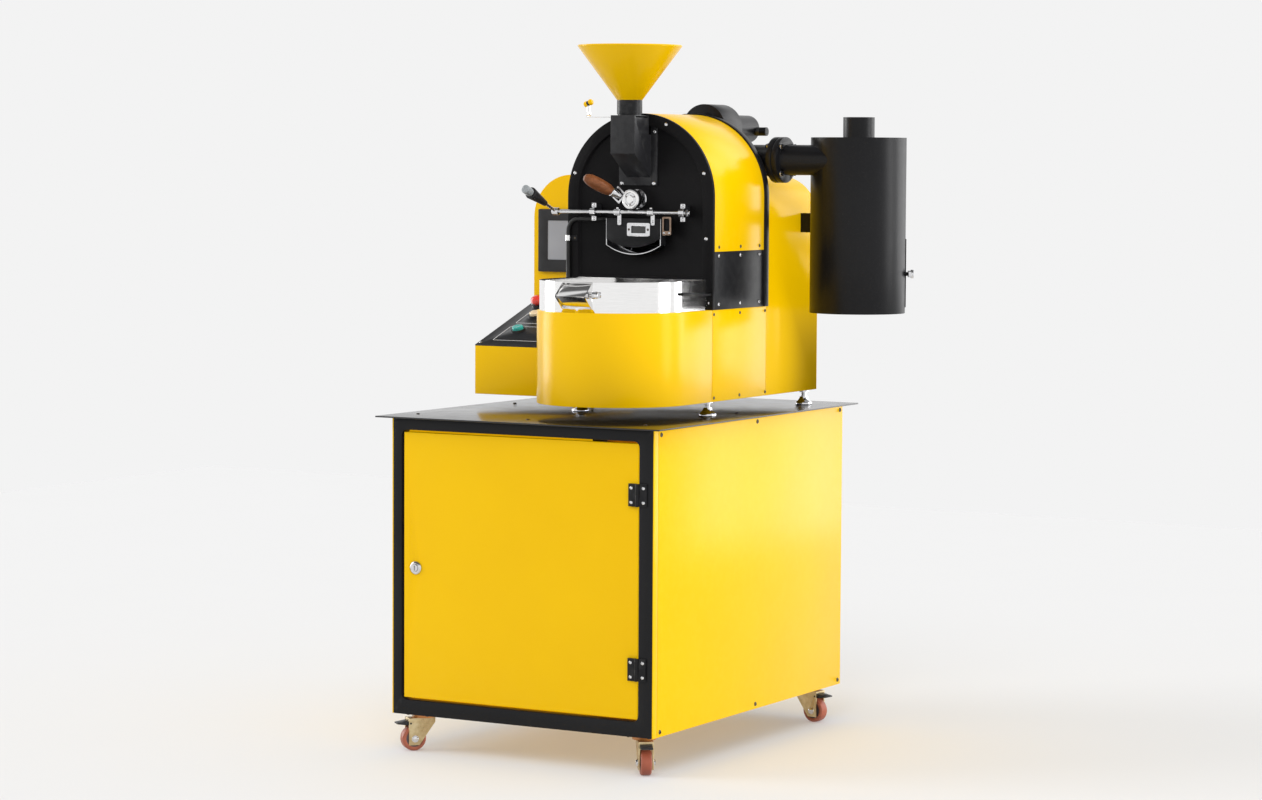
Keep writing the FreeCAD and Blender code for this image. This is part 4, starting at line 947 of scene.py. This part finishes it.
def makeCasingScrews(f):
    bright = [((x, 310, z), (0, -1, 0)) for x, z in flangeScrewSpots]
    bright += [((f.side, y, z), (1, 0, 0)) for y in f.panelY for z in (999, 902)]
    bright += [((archCentre[0] - 168, y, z), (-1, 0, 0)) for y in f.panelY for z in (999, 902)]
    scatter("casing_screws_bright", bright, "frame", chrome, f.radius, seed=11)
    dark = [((f.side, y, 1016), (1, 0, 0)) for y in f.panelY]
    dark += [((f.baseSide, y, z), (1, 0, 0)) for y, z in baseScrewSpots]
    scatter("casing_screws_dark", dark, "frame", darkScrew, f.yellowRadius, seed=12)


makeCasingScrews(casingScrewFacts)
rodFacts = Facts(radius=2, line=((254.5, 309, 922), (254, 250, 924), (253.5, 200, 926)), sleeve=3.2)
damper = swept(rodFacts.line, rodFacts.radius)
sleeve = swept(((253.9, 236, 924.6), (253.5, 192, 926)), rodFacts.sleeve)
addPiece("side_rod", joinUp(eased(damper, 0.8), eased(sleeve, 0.6)), blackSatin, "frame")
print("casing made")

# Drum works, mostly hidden
for nodeName in ("drum", "drum_bearings", "gearmotors", "heater", "impeller", "stir_arm"):
    dress(nodeName, 0.4)

# Hopper
funnelFacts = Facts(x=81, y=283, neck=25.4, collarFoot=1280, foot=1308.6, wall=1.5, segments=160)


def makeFunnel(f):
    low, high = span("hopper_funnel")
    mouth = (high.x - low.x) / 2
    top, neck, wall = high.z, f.neck, f.wall
    cone = [
        (neck, f.foot), (neck + 0.4, f.foot + 0.2), (mouth - 0.4, top - 3.2), (mouth, top - 2.4),
        (mouth, top - 0.8),
        (mouth - 0.8, top), (mouth - 2, top), (mouth - 2.8, top - 1), (neck - wall, f.foot + 1.6),
        (neck - wall, f.foot),
    ]
    build("hopper_funnel", lathe(cone, (f.x, f.y, 0), segments=f.segments, ring=True))
    collar = [
        (neck - wall, f.collarFoot), (neck, f.collarFoot), (neck, f.foot - 0.1), (neck - wall, f.foot - 0.1)
    ]
    tube = lathe(collar, (f.x, f.y, 0), segments=96, ring=True)
    build("hopper_funnel", tube, "neck", blackSatin, stands=False)


makeFunnel(funnelFacts)
dress("inlet_chute", 1.0, material=blackSheet)
chuteFlangeFacts = Facts(x0=111, x1=125, y=317.4, depth=3, foot=1138, top=1268, screw=4.2)
chuteScrewSpots = ((112.5, 1262), (119, 1246), (118, 1142), (44, 1142))


def makeChuteFlange(f):
    strip = block(f.x0, f.x1, f.y, f.y + f.depth, f.foot, f.top, 0.6)
    addPiece("chute_flange", strip, blackSheet, "frame")
    spots = [((x, f.y, z), (0, -1, 0)) for x, z in chuteScrewSpots]
    scatter("chute_screws", spots, "frame", chrome, f.screw, seed=14)


makeChuteFlange(chuteFlangeFacts)

gateFacts = Facts(
    y=283, plate=(15, 98, 257.05, 304.95), low=1273.55, thick=2.4, arm=(-14, 23, 275, 291),
    upright=(-16, -13, 275, 291), uprightTop=1285, stem=3.6, stemX=-14.5, knobZ=1302.5,
    knobAim=(0.92, 0, 0.4),
)


def makeGate(f):
    low, high = f.low, f.low + f.thick
    x0, x1, y0, y1 = f.plate
    parts = [block(x0, x1, y0, y1, low, high, 0.4)]
    x0, x1, y0, y1 = f.arm
    parts.append(block(x0, x1, y0, y1, low, high, 0.4))
    x0, x1, y0, y1 = f.upright
    parts.append(block(x0, x1, y0, y1, low, f.uprightTop, 0.6))
    stem = [(0, f.uprightTop - 6), (f.stem, f.uprightTop - 6), (f.stem, f.knobZ - 5), (0, f.knobZ - 4)]
    parts.append(lathe(stem, (f.stemX, f.y, 0), segments=32))
    build("slide_gate", joinUp(*parts))
    spot, aim = (f.stemX, f.y, f.knobZ), f.knobAim
    end = [(0, 2.6), (5.6, 2.6), (6.2, 3.4), (6.2, 7.4), (4.6, 9.4), (0, 9.8)]
    other = [(r, -h) for r, h in end]
    knob = joinUp(lathe(end, spot, aim, 40), lathe(other, spot, aim, 40))
    build("slide_gate", knob, "knob", yellow, stands=False)
    band = lathe([(0, -2.8), (5.2, -2.8), (5.2, 2.8), (0, 2.8)], spot, aim, 40)
    build("slide_gate", band, "band", blackPlastic, stands=False)


makeGate(gateFacts)
print("hopper made")

# Discharge mouth, its door and shaft
mouthFacts = Facts(x=81.5, half=63, top=1071, foot=999, bend=1018, wall=3, front=300, back=321, steps=40)


def mouthLine(f, inset, lift=0.0, topInset=0.0):
    # Straight sides above a shallow round bottom.
    half, foot, bend = f.half - inset, f.foot + inset + lift, f.bend + lift
    sag = bend - foot
    radius = (half * half + sag * sag) / (2 * sag)
    spread = math.degrees(math.asin(half / radius))
    bottom = arc((f.x, foot + radius), radius, 270 - spread, 270 + spread, f.steps)
    top = f.top - topInset
    return [(f.x - half, top)] + bottom + [(f.x + half, top)]


def makeMouth(f):
    outer, inner = mouthLine(f, 0), mouthLine(f, f.wall, 0, f.wall)
    build("discharge_chute", ringPlate(outer, inner, "front", f.front, f.back, 0.4))
    rim = ringPlate(mouthLine(f, -0.2), mouthLine(f, 1.5), "front", f.front - 0.5, f.front + 0.6, 0.2)
    build("discharge_chute", rim, "rim", chrome, stands=False)
    door = plate(mouthLine(f, 2.2, 12, -0.5), "front", f.front - 4, f.front - 0.6, 0.7)
    build("discharge_door", door)


makeMouth(mouthFacts)

sightFacts = Facts(x0=72, x1=125, z0=1036, z1=1063, edge=6.5, front=289.8, back=296.2, screw=2.6)


def makeSight(f):
    outer = corners(f.x0, f.x1, f.z0, f.z1, 4)
    wide, tall = f.edge + 3.5, f.edge
    inner = corners(f.x0 + wide, f.x1 - wide, f.z0 + tall, f.z1 - tall, 1.5)
    build(
        "discharge_door", ringPlate(outer, inner, "front", f.front, f.back, 0.7), "sight", chrome,
        stands=False
    )
    glass = corners(f.x0 + wide - 0.5, f.x1 - wide + 0.5, f.z0 + tall - 0.5, f.z1 - tall + 0.5)
    pane = plate(glass, "front", f.front + 2.5, f.back, 0.2)
    build("discharge_door", pane, "glass", smokedGlass, stands=False)
    middle = (f.z0 + f.z1) / 2
    spots = [((x, f.front, middle), (0, -1, 0)) for x in (f.x0 + 4.6, f.x1 - 4.6)]
    scatter("sight_screws", spots, "front_door", darkScrew, f.screw, seed=15)


makeSight(sightFacts)

shaftFacts = Facts(
    y=295, z=1084, radius=4, left=-105, right=214, knuckles=(48, 125), knuckle=7.6, half=7,
    strapLeft=0.5, strapWide=9, strapFoot=1058, elbow=7, leverX=-97, aim=(0, -0.935, 0.355),
    gripStart=45, gripLong=63, capLong=24,
)


def makeShaft(f):
    y, z, radius = f.y, f.z, f.radius
    long = f.right - f.left
    bar = rounded([(0, 0), (radius, 0), (radius, long), (0, long)], 0.8, closed=False)
    parts = [lathe(bar, (f.left, y, z), (1, 0, 0), 40)]
    inner, outer = radius - 0.2, f.elbow
    collar = [(inner, 0), (outer, 0), (outer + 0.6, 0.8), (outer + 0.6, 13.2), (outer, 14), (inner, 14)]
    parts.append(lathe(collar, (f.left + 1, y, z), (1, 0, 0), 40, ring=True))
    big = f.knuckle
    nut = [(inner, 0), (big - 0.5, 0), (big, 0.6), (big, 4.4), (big - 0.5, 5), (inner, 5)]
    parts.append(lathe(nut, (f.right - 8, y, z), (1, 0, 0), 6, ring=True))
    half = f.half
    screws = []
    for x in f.knuckles:
        drum = [
            (inner, -half), (big - 0.8, -half), (big, -half + 0.8), (big, half - 0.8), (big - 0.8, half),
            (inner, half)
        ]
        parts.append(lathe(drum, (x, y, z), (1, 0, 0), 40, ring=True))
        left = x + f.strapLeft
        right = left + f.strapWide
        strap = rounded([(left, z - 4), (left, f.strapFoot), (right, f.strapFoot), (right, z - 4)], 2.5)
        parts.append(plate(strap, "front", 292.1, 295.9, 0.5))
        parts.append(lathe([(0, 5), (3.2, 5), (3.2, 9.4), (2.6, 10), (0, 10)], (x, y, z), (0, 0, 1), 24))
        screws.append((((left + right) / 2, 292.1, f.strapFoot + 8), (0, -1, 0)))
    spot = (f.leverX, y, z)
    start = f.gripStart
    parts.append(swept([Vector(spot) + Vector(f.aim) * s for s in (0, start * 0.5, start + 5)], 3))
    build("door_shaft", joinUp(*parts))
    end = start + f.gripLong
    grip = rounded([(0, start), (5.6, start), (12.4, end - 1), (0, end)], 1.6, closed=False)
    build("door_shaft", lathe(grip, spot, f.aim, 48), "grip", blackPlastic, stands=False)
    cap = rounded([(0, end + 0.5), (8.8, end + 0.5), (8.8, end + f.capLong - 2), (0, end + f.capLong)], 2.4)
    build("door_shaft", lathe(cap, spot, f.aim, 48), "cap", greyPlastic, stands=False)
    scatter("strap_screws", screws, "front_door", chrome, 2.6, seed=16)


makeShaft(shaftFacts)

blockFacts = Facts(
    spots=(-9, 196), y=295, z=1084, collar=9, bore=4.1, half=6, earWide=5.5, ear=18, earY=(297, 300),
    stay=4, wall=321, screwZ=13.5, screw=3.2,
)


def makeBlocks(f):
    bright, dark, screws = [], [], []
    y, z, big = f.y, f.z, f.collar
    for x in f.spots:
        half = f.half
        collar = [
            (f.bore, -half), (big - 1, -half), (big, -half + 1), (big, half - 1), (big - 1, half),
            (f.bore, half)
        ]
        bright.append(lathe(collar, (x, y, z), (1, 0, 0), 40, ring=True))
        front, back = f.earY
        wide = f.earWide
        for side in (-1, 1):
            low, high = sorted((z + side * 8.5, z + side * f.ear))
            bright.append(plate(corners(x - wide, x + wide, low, high, 2), "front", front, back, 0.6))
            screws.append(((x, front, z + side * f.screwZ), (0, -1, 0)))
        # The stays between the ears and the wall are painted black as painted shade: their black stands in
        # for the shadow behind the bearing ears.
        dark.append(block(x - f.stay, x + f.stay, back - 1, f.wall, z - big + 0.5, z + 14.5, 0.8))
    build("bearing_blocks", joinUp(*bright))
    # Black satin here is painted shade for the shadowed gap behind the ears.
    build("bearing_blocks", joinUp(*dark), "stays", blackSatin, stands=False)
    scatter("block_screws", screws, "frame", chrome, f.screw, seed=22)


makeBlocks(blockFacts)

catchFacts = Facts(x0=147, x1=168, z0=1038.5, z1=1076, edge=4.2, back=304, front=300, wall=144.3)


def makeCatch(f):
    outer = corners(f.x0, f.x1, f.z0, f.z1, 4)
    inner = corners(f.x0 + f.edge, f.x1 - f.edge, f.z0 + 9, f.z1 - f.edge, 2)
    catch = ringPlate(outer, inner, "front", f.front, f.back, 0.8)
    addPiece("catch_frame", catch, bronzePlate, "frame")
    tab = block(f.wall, f.x1 - 1, f.back - 0.1, f.back + 2, f.z0 + 1, f.z1 - 1, 0.4)
    addPiece("catch_tab", tab, blackPlate, "frame")
    spots = [((x, f.front, f.z0 + 5), (0, -1, 0)) for x in (f.x0 + 4.4, f.x1 - 4.4)]
    scatter("catch_screws", spots, "frame", chrome, 2.4, seed=17)


makeCatch(catchFacts)

# Trier
trierFacts = Facts(
    x=82, z=1110, face=299, front=285, portFace=313, radius=20, port=21, bore=10.05, boreBack=16,
    tube=10, inside=8.5, tubeEnd=130, scoop=(34, 118),
)


def makeTrier(f):
    spot = (f.x, f.portFace, f.z)
    bore, port = f.bore, f.port
    ring = [
        (bore, -f.boreBack), (bore + 0.9, -f.boreBack), (bore + 0.9, -8), (port, -8), (port, -1.6),
        (port - 1.4, -0.2),
        (bore, -0.2),
    ]
    build("trier_port", lathe(ring, spot, (0, -1, 0), 72, ring=True))
    face = (f.x, f.face, f.z)
    thick, radius, tube, inside = f.face - f.front, f.radius, f.tube, f.inside
    disc = rounded([(0, 0), (radius, 0), (radius, thick), (0, thick)], 1.6, closed=False)
    start, end = f.scoop
    neck = [(inside, -start), (tube, -start), (tube, 0.2), (inside, 0.2)]
    tip = rounded([(0, -f.tubeEnd), (tube, -f.tubeEnd), (tube, -end), (0, -end)], 1.2)
    centre = (f.x, f.z)
    scoop = arc(centre, tube, 180, 360, 32) + arc(centre, inside, 360, 180, 32)
    trough = plate(scoop, "front", f.face + start - 0.2, f.face + end + 0.2, 0.3)
    parts = [
        lathe(disc, face, (0, -1, 0), 72), lathe(neck, face, (0, -1, 0), 56, ring=True),
        lathe(tip, face, (0, -1, 0), 56)
    ]
    build("trier", joinUp(trough, *parts))
    front = (f.x, f.front, f.z)
    dial = [(12.4, -0.4), (18.4, -0.4), (18.4, 0.4), (17.2, 1.2), (14.4, 1.2), (13.0, 0.4)]
    boss = [(0, -0.2), (8.4, -0.2), (8.4, 1.2), (7.4, 2.2), (0, 2.4)]
    detail = joinUp(lathe(dial, front, (0, -1, 0), 72, ring=True), lathe(boss, front, (0, -1, 0), 48))
    build("trier", detail, "dial", mirrorSteel, stands=False)
    spots = []
    for k in range(3):
        turn = math.radians(30 + 120 * k)
        spots.append(((f.x + 10.6 * math.cos(turn), f.front - 0.2, f.z + 10.6 * math.sin(turn)), (0, -1, 0)))
    scatter("trier_screws", spots, "trier", darkScrew, 1.6, seed=18)


makeTrier(trierFacts)

handleFacts = Facts(spot=(56.5, 286, 1117.3), aim=(-0.5, -0.75, 0.43), radius=13, yoke=(284, 291.5))
# Along and across the handle as seen from the front.
yokeShape = ((15, 13), (-11, 13), (-11, -13), (15, -13), (15, -9.4), (-6.5, -8.6), (-6.5, 8.6), (15, 9.4))


def makeHandle(f):
    radius = f.radius
    outline = [
        (0, 21), (8.6, 21), (9.6, 22.4), (11.6, 28), (radius - 0.4, 36), (radius, 46), (radius, 60),
        (radius - 0.7, 70),
        (radius - 2.8, 79), (radius - 6, 84.6), (radius - 9.5, 86.8), (0, 87.2),
    ]
    build("trier_handle", lathe(outline, f.spot, f.aim, 56))
    ferrule = [(0, -2), (6.4, -2), (7, 0), (7, 12), (9.8, 13), (10.2, 19.6), (9.2, 20.9), (0, 20.9)]
    parts = [lathe(ferrule, f.spot, f.aim, 48)]
    x, y, z = f.spot
    aim = Vector((f.aim[0], 0, f.aim[2])).normalized()
    shape = [(x + aim.x * u + aim.z * v, z + aim.z * u - aim.x * v) for u, v in yokeShape]
    front, back = f.yoke
    parts.append(plate(rounded(shape, 2.4, 4), "front", front, back, 0.9))
    build("trier_handle", joinUp(*parts), "yoke", chrome, stands=False)


makeHandle(handleFacts)
print("front fittings made")

# Probe conduit: straight runs and true arcs
conduitFacts = Facts(radius=4, start=6, z=1069, wall=321, y=305, x=-74, bend=24, foot=872)


def makeConduit(f):
    out = f.wall - f.y
    line = []
    for k in range(9):
        turn = math.radians(90 * k / 8)
        line.append((f.start - out + out * math.cos(turn), f.wall - out * math.sin(turn), f.z))
    bendX, bendZ = f.x + f.bend, f.z - f.bend
    for k in range(13):
        turn = math.radians(90 + 90 * k / 12)
        line.append((bendX + f.bend * math.cos(turn), f.y, bendZ + f.bend * math.sin(turn)))
    line.append((f.x, f.y, f.foot))
    build("probe_conduit", swept(line, f.radius, 28))


makeConduit(conduitFacts)

clipFacts = Facts(
    bore=4.05, bands=((6.0, 1024, 1036, 310), (8.0, 868, 890, 311)), ear=(-69.5, -55), thick=2, screw=2.4,
    screwX=-60,
)


def makeClips(f, c):
    bands, ears, screws = [], [], []
    for radius, low, high, wall in f.bands:
        ring = rounded([(f.bore, low), (radius, low), (radius, high), (f.bore, high)], 0.8)
        bands.append(lathe(ring, (c.x, c.y, 0), segments=48, ring=True))
        start, end = f.ear
        ears.append(block(start, end, wall - f.thick, wall, low + 1, high - 1, 0.4))
        screws.append(((f.screwX, wall - f.thick, (low + high) / 2), (0, -1, 0)))
    build("conduit_clips", joinUp(*bands))
    build("conduit_clips", joinUp(*ears), "ears", blackSatin, stands=False)
    scatter("clip_screws", screws, "frame", darkScrew, f.screw, seed=23)


makeClips(clipFacts, conduitFacts)

# Console and screen
panelFacts = Facts(left=-287, right=-107, foot=951, top=1084, front=539, back=547)
screenBox = Facts(left=-264, right=-124, foot=977, top=1060)


def makeTouchPanel(f, s):
    outer = corners(f.left, f.right, f.foot, f.top, 3)
    inner = corners(s.left, s.right, s.foot, s.top, 1.5)
    build("touch_panel", ringPlate(outer, inner, "front", f.front, f.back, 0.8))
    face = plate(
        corners(s.left - 0.5, s.right + 0.5, s.foot - 0.5, s.top + 0.5), "front", f.front + 1.6,
        f.front + 4, 0
    )
    build("touch_panel", face, "screen", screenGlass, stands=False)


makeTouchPanel(panelFacts, screenBox)
dress("console_body", 1.2, 3)
dress("console_panel", 0.5, material=blackSheet)

slopeFacts = Facts(front=312, low=805, back=547, high=887)
slopeAngle = math.atan2(slopeFacts.high - slopeFacts.low, slopeFacts.back - slopeFacts.front)
slopeUp = Vector((0, -math.sin(slopeAngle), math.cos(slopeAngle)))
slopeAlong = Vector((0, math.cos(slopeAngle), math.sin(slopeAngle)))


def onSlope(x, y):
    rise = (slopeFacts.high - slopeFacts.low) / (slopeFacts.back - slopeFacts.front)
    return Vector((x, y, slopeFacts.low + rise * (y - slopeFacts.front)))


outlineFacts = Facts(line=1.2, thick=0.12, corner=5)
outlineBoxes = (
    Facts(x0=-276, x1=-92, y0=338, y1=412),
    Facts(x0=-276, x1=-92, y0=429, y1=500),
)


def makeOutlines(f):
    parts = []
    for b in outlineBoxes:
        long = (b.y1 - b.y0) / math.cos(slopeAngle)
        outer = corners(0, b.x1 - b.x0, 0, long, f.corner)
        inner = corners(f.line, b.x1 - b.x0 - f.line, f.line, long - f.line, f.corner - f.line)
        ring = ringPlate(outer, inner, "flat", 0, f.thick, 0)
        spot = onSlope(b.x0, b.y0) + slopeUp * 0.02
        turn = Matrix((Vector((1, 0, 0)), slopeAlong, slopeUp)).transposed().to_4x4()
        ring.transform(Matrix.Translation(spot) @ turn)
        parts.append(ring)
    addPiece("console_outlines", joinUp(*parts), whitePrint, "frame")
    spots = [(onSlope(x, y), tuple(slopeUp)) for x in (-296, -70) for y in (324, 534)]
    scatter("console_screws", spots, "frame", chrome, 3.2, seed=19)


makeOutlines(outlineFacts)

buttonFacts = Facts(
    start_button=Facts(x=-245, y=390, cap=12, stem=6, rest=3, top=11),
    stop_button=Facts(x=-250, y=468, cap=12, stem=6, rest=3, top=11),
)
emergencyFacts = Facts(x=-270, y=516, cap=15, stem=9, rest=12, top=26)


def makeButtons():
    for nodeName, f in buttonFacts.items():
        cap = [
            (0, -14), (f.stem, -14), (f.stem, f.rest), (f.cap, f.rest), (f.cap, f.top - 2.6),
            (f.cap - 1, f.top - 1.2), (f.cap - 2.6, f.top - 0.6), (f.cap - 5, f.top - 0.8), (0, f.top - 1.4),
        ]
        build(nodeName, lathe(cap, onSlope(f.x, f.y), slopeUp, 56))
    f = emergencyFacts
    cap = [
        (0, -14), (f.stem, -14), (f.stem, f.rest), (f.cap - 1, f.rest), (f.cap, f.rest + 1.4),
        (f.cap, f.rest + 8), (f.cap - 1.6, f.top - 3.4), (f.cap - 5, f.top - 1.2),
        (f.cap - 10, f.top - 0.3), (0, f.top),
    ]
    build("emergency_button", lathe(cap, onSlope(f.x, f.y), slopeUp, 56))


makeButtons()
print("console made")

# Cooling bin with its spout
dress("cooling_bin", 0)
rimFacts = Facts(x=98, y=200, radius=151, back=309.2, bead=1.3, inset=1.4, steps=72)


def makeBinRim(f):
    low, high = span("cooling_bin")
    radius = f.radius - f.inset
    line = [(f.x - radius, f.back)] + arc((f.x, f.y), radius, 180, 360, f.steps) + [(f.x + radius, f.back)]
    points = [(x, y, high.z - f.bead) for x, y in line]
    build("cooling_bin", swept(points, f.bead, 14), "rim", stands=False)


makeBinRim(rimFacts)
dress("bin_gate", 0.5)
gateKnobFacts = Facts(x=135, y=46, z=926, radius=7)


def makeGateKnob(f):
    radius = f.radius
    outline = [
        (0, 0), (radius - 1, 0), (radius, 1), (radius, 6), (radius - 1.6, 8), (radius - 1.6, 10),
        (radius - 0.6, 11), (radius - 1.4, 13.4), (0, 14)
    ]
    build("bin_gate", lathe(outline, (f.x, f.y, f.z), (1, 0, 0), 48), "knob", chrome, stands=False)


makeGateKnob(gateKnobFacts)
print("bin made")

# Blower, pipe and cyclone
dress("blower", 0.8)
glandFacts = Facts(x=119.5, y=741, z=1250, long=34.5)


def makeGland(f):
    spot = (f.x, f.y, f.z)
    hexagon = rounded([(0, 12), (10.4, 12), (10.4, 20), (0, 20)], 0.8, closed=False)
    dome = rounded([(0, 20), (9, 20), (9, 28), (6.4, f.long), (0, f.long)], 1.6)
    gland = joinUp(lathe(hexagon, spot, (1, 0, 0), 6), lathe(dome, spot, (1, 0, 0), 32))
    build("blower", gland, "gland", blackPlastic, stands=False)


makeGland(glandFacts)
dress("exhaust_pipe", 0.7)
boltFacts = Facts(x0=255, x1=279, y=586, z=1190.5, ring=39, radius=5.6, count=4)


def makePipeBolts(f):
    spots = []
    for k in range(f.count):
        turn = math.radians(45 + 360 * k / f.count)
        y, z = f.y + f.ring * math.cos(turn), f.z + f.ring * math.sin(turn)
        spots.append(((f.x0 - 3, y, z), (-1, 0, 0)))
        spots.append(((f.x1 + 3, y, z), (1, 0, 0)))
    scatter("pipe_bolts", spots, "frame", chrome, f.radius, hexHead, 21)


makePipeBolts(boltFacts)
dress("cyclone", 0.8)
dress("chaff_door", 0.3)
dress("chaff_latch", 0.5)
print("cyclone made")

# Floor, world and lamps
stageFacts = Facts(paper=0.69, seen=0.896, ambient=0.72, mirrored=1.0, size=4.5)

def paleFloor(f):
    m = Maker("paleFloor")
    cloud = m.noise(m.place(), 3, 3)
    shade = f.paper
    color = m.blend(cloud, (shade, shade, shade), (shade * 1.01, shade * 1.01, shade * 1.01))
    return m.finish(Base_Color=color, Roughness=1.0, Specular_IOR_Level=0.0)


floorForm = bmesh.new()
bmesh.ops.create_grid(floorForm, x_segments=1, y_segments=1, size=stageFacts.size)
floorMesh = bpy.data.meshes.new("floor")
floorForm.to_mesh(floorMesh)
floorForm.free()
floorMesh.materials.append(paleFloor(stageFacts))
floor = bpy.data.objects.new("floor", floorMesh)
floor.location = (0, 0, -0.0005)
bpy.context.scene.collection.objects.link(floor)


# Bright upright strips seen only in reflections: turn from the right-hand side, half width, strength.
stripFacts = ((20, 7, 5.0), (52, 5, 2.6), (64, 16, 1.6), (180, 9, 6.0))
# Reflections fade towards a dark ceiling between these heights.
ceilingFacts = Facts(start=0.5, end=0.72, level=0.12)


def makeWorld(f):
    world = bpy.data.worlds.new("studio")
    bpy.context.scene.world = world
    world.use_nodes = True
    tree = world.node_tree

    def add(kind, operation, first, second):
        made = tree.nodes.new("ShaderNode" + kind)
        made.operation = operation
        for socket, value in zip(made.inputs, (first, second)):
            if isinstance(value, bpy.types.NodeSocket):
                tree.links.new(value, socket)
            else:
                socket.default_value = value
        return next(o for o in made.outputs if o.enabled)

    aim = tree.nodes.new("ShaderNodeTexCoord").outputs["Generated"]
    mirrored = f.mirrored
    level = add("VectorMath", "MULTIPLY", aim, (1, 1, 0))
    level = add("VectorMath", "NORMALIZE", level, (0, 0, 0))
    for turn, half, strength in stripFacts:
        angle = math.radians(turn)
        along = add("VectorMath", "DOT_PRODUCT", level, (math.cos(angle), math.sin(angle), 0))
        band = tree.nodes.new("ShaderNodeMapRange")
        band.interpolation_type = "SMOOTHSTEP"
        band.inputs["From Min"].default_value = math.cos(math.radians(half * 1.6))
        band.inputs["From Max"].default_value = math.cos(math.radians(half * 0.6))
        band.inputs["To Max"].default_value = strength
        tree.links.new(along, band.inputs["Value"])
        mirrored = add("Math", "ADD", band.outputs["Result"], mirrored)
    fade = tree.nodes.new("ShaderNodeMapRange")
    fade.inputs["From Min"].default_value = ceilingFacts.start
    fade.inputs["From Max"].default_value = ceilingFacts.end
    fade.inputs["To Min"].default_value = 1
    fade.inputs["To Max"].default_value = ceilingFacts.level
    tree.links.new(add("VectorMath", "DOT_PRODUCT", aim, (0, 0, 1)), fade.inputs["Value"])
    mirrored = add("Math", "MULTIPLY", mirrored, fade.outputs["Result"])
    path = tree.nodes.new("ShaderNodeLightPath")
    level = f.ambient
    for ray, value in (("Is Glossy Ray", mirrored), ("Is Camera Ray", f.seen)):
        choice = tree.nodes.new("ShaderNodeMix")
        for socket, given in zip(choice.inputs[:1] + choice.inputs[2:4], (path.outputs[ray], level, value)):
            if isinstance(given, bpy.types.NodeSocket):
                tree.links.new(given, socket)
            else:
                socket.default_value = given
        level = choice.outputs[0]
    background = tree.nodes["Background"]
    background.inputs["Color"].default_value = (1, 1, 1, 1)
    tree.links.new(level, background.inputs["Strength"])


makeWorld(stageFacts)

sunFacts = Facts(
    front=Facts(strength=0.66, angle=30, aim=(0.35, -0.75, 0.75)),
    left=Facts(strength=0.85, angle=30, aim=(-0.8, -0.45, 0.4)),
    right=Facts(strength=2.15, angle=22, aim=(0.86, 0.26, 0.5), shadow=False),
)


def makeSuns():
    for name, f in sunFacts.items():
        data = bpy.data.lights.new(name, "SUN")
        data.energy = f.strength
        data.angle = math.radians(f.angle)
        lamp = bpy.data.objects.new(name, data)
        lamp.rotation_euler = Vector(f.aim).to_track_quat("Z", "Y").to_euler()
        lamp.visible_glossy = False
        data.use_shadow = f.get("shadow", True)
        bpy.context.scene.collection.objects.link(lamp)


makeSuns()
scene = bpy.context.scene
scene.view_settings.view_transform = "Standard"
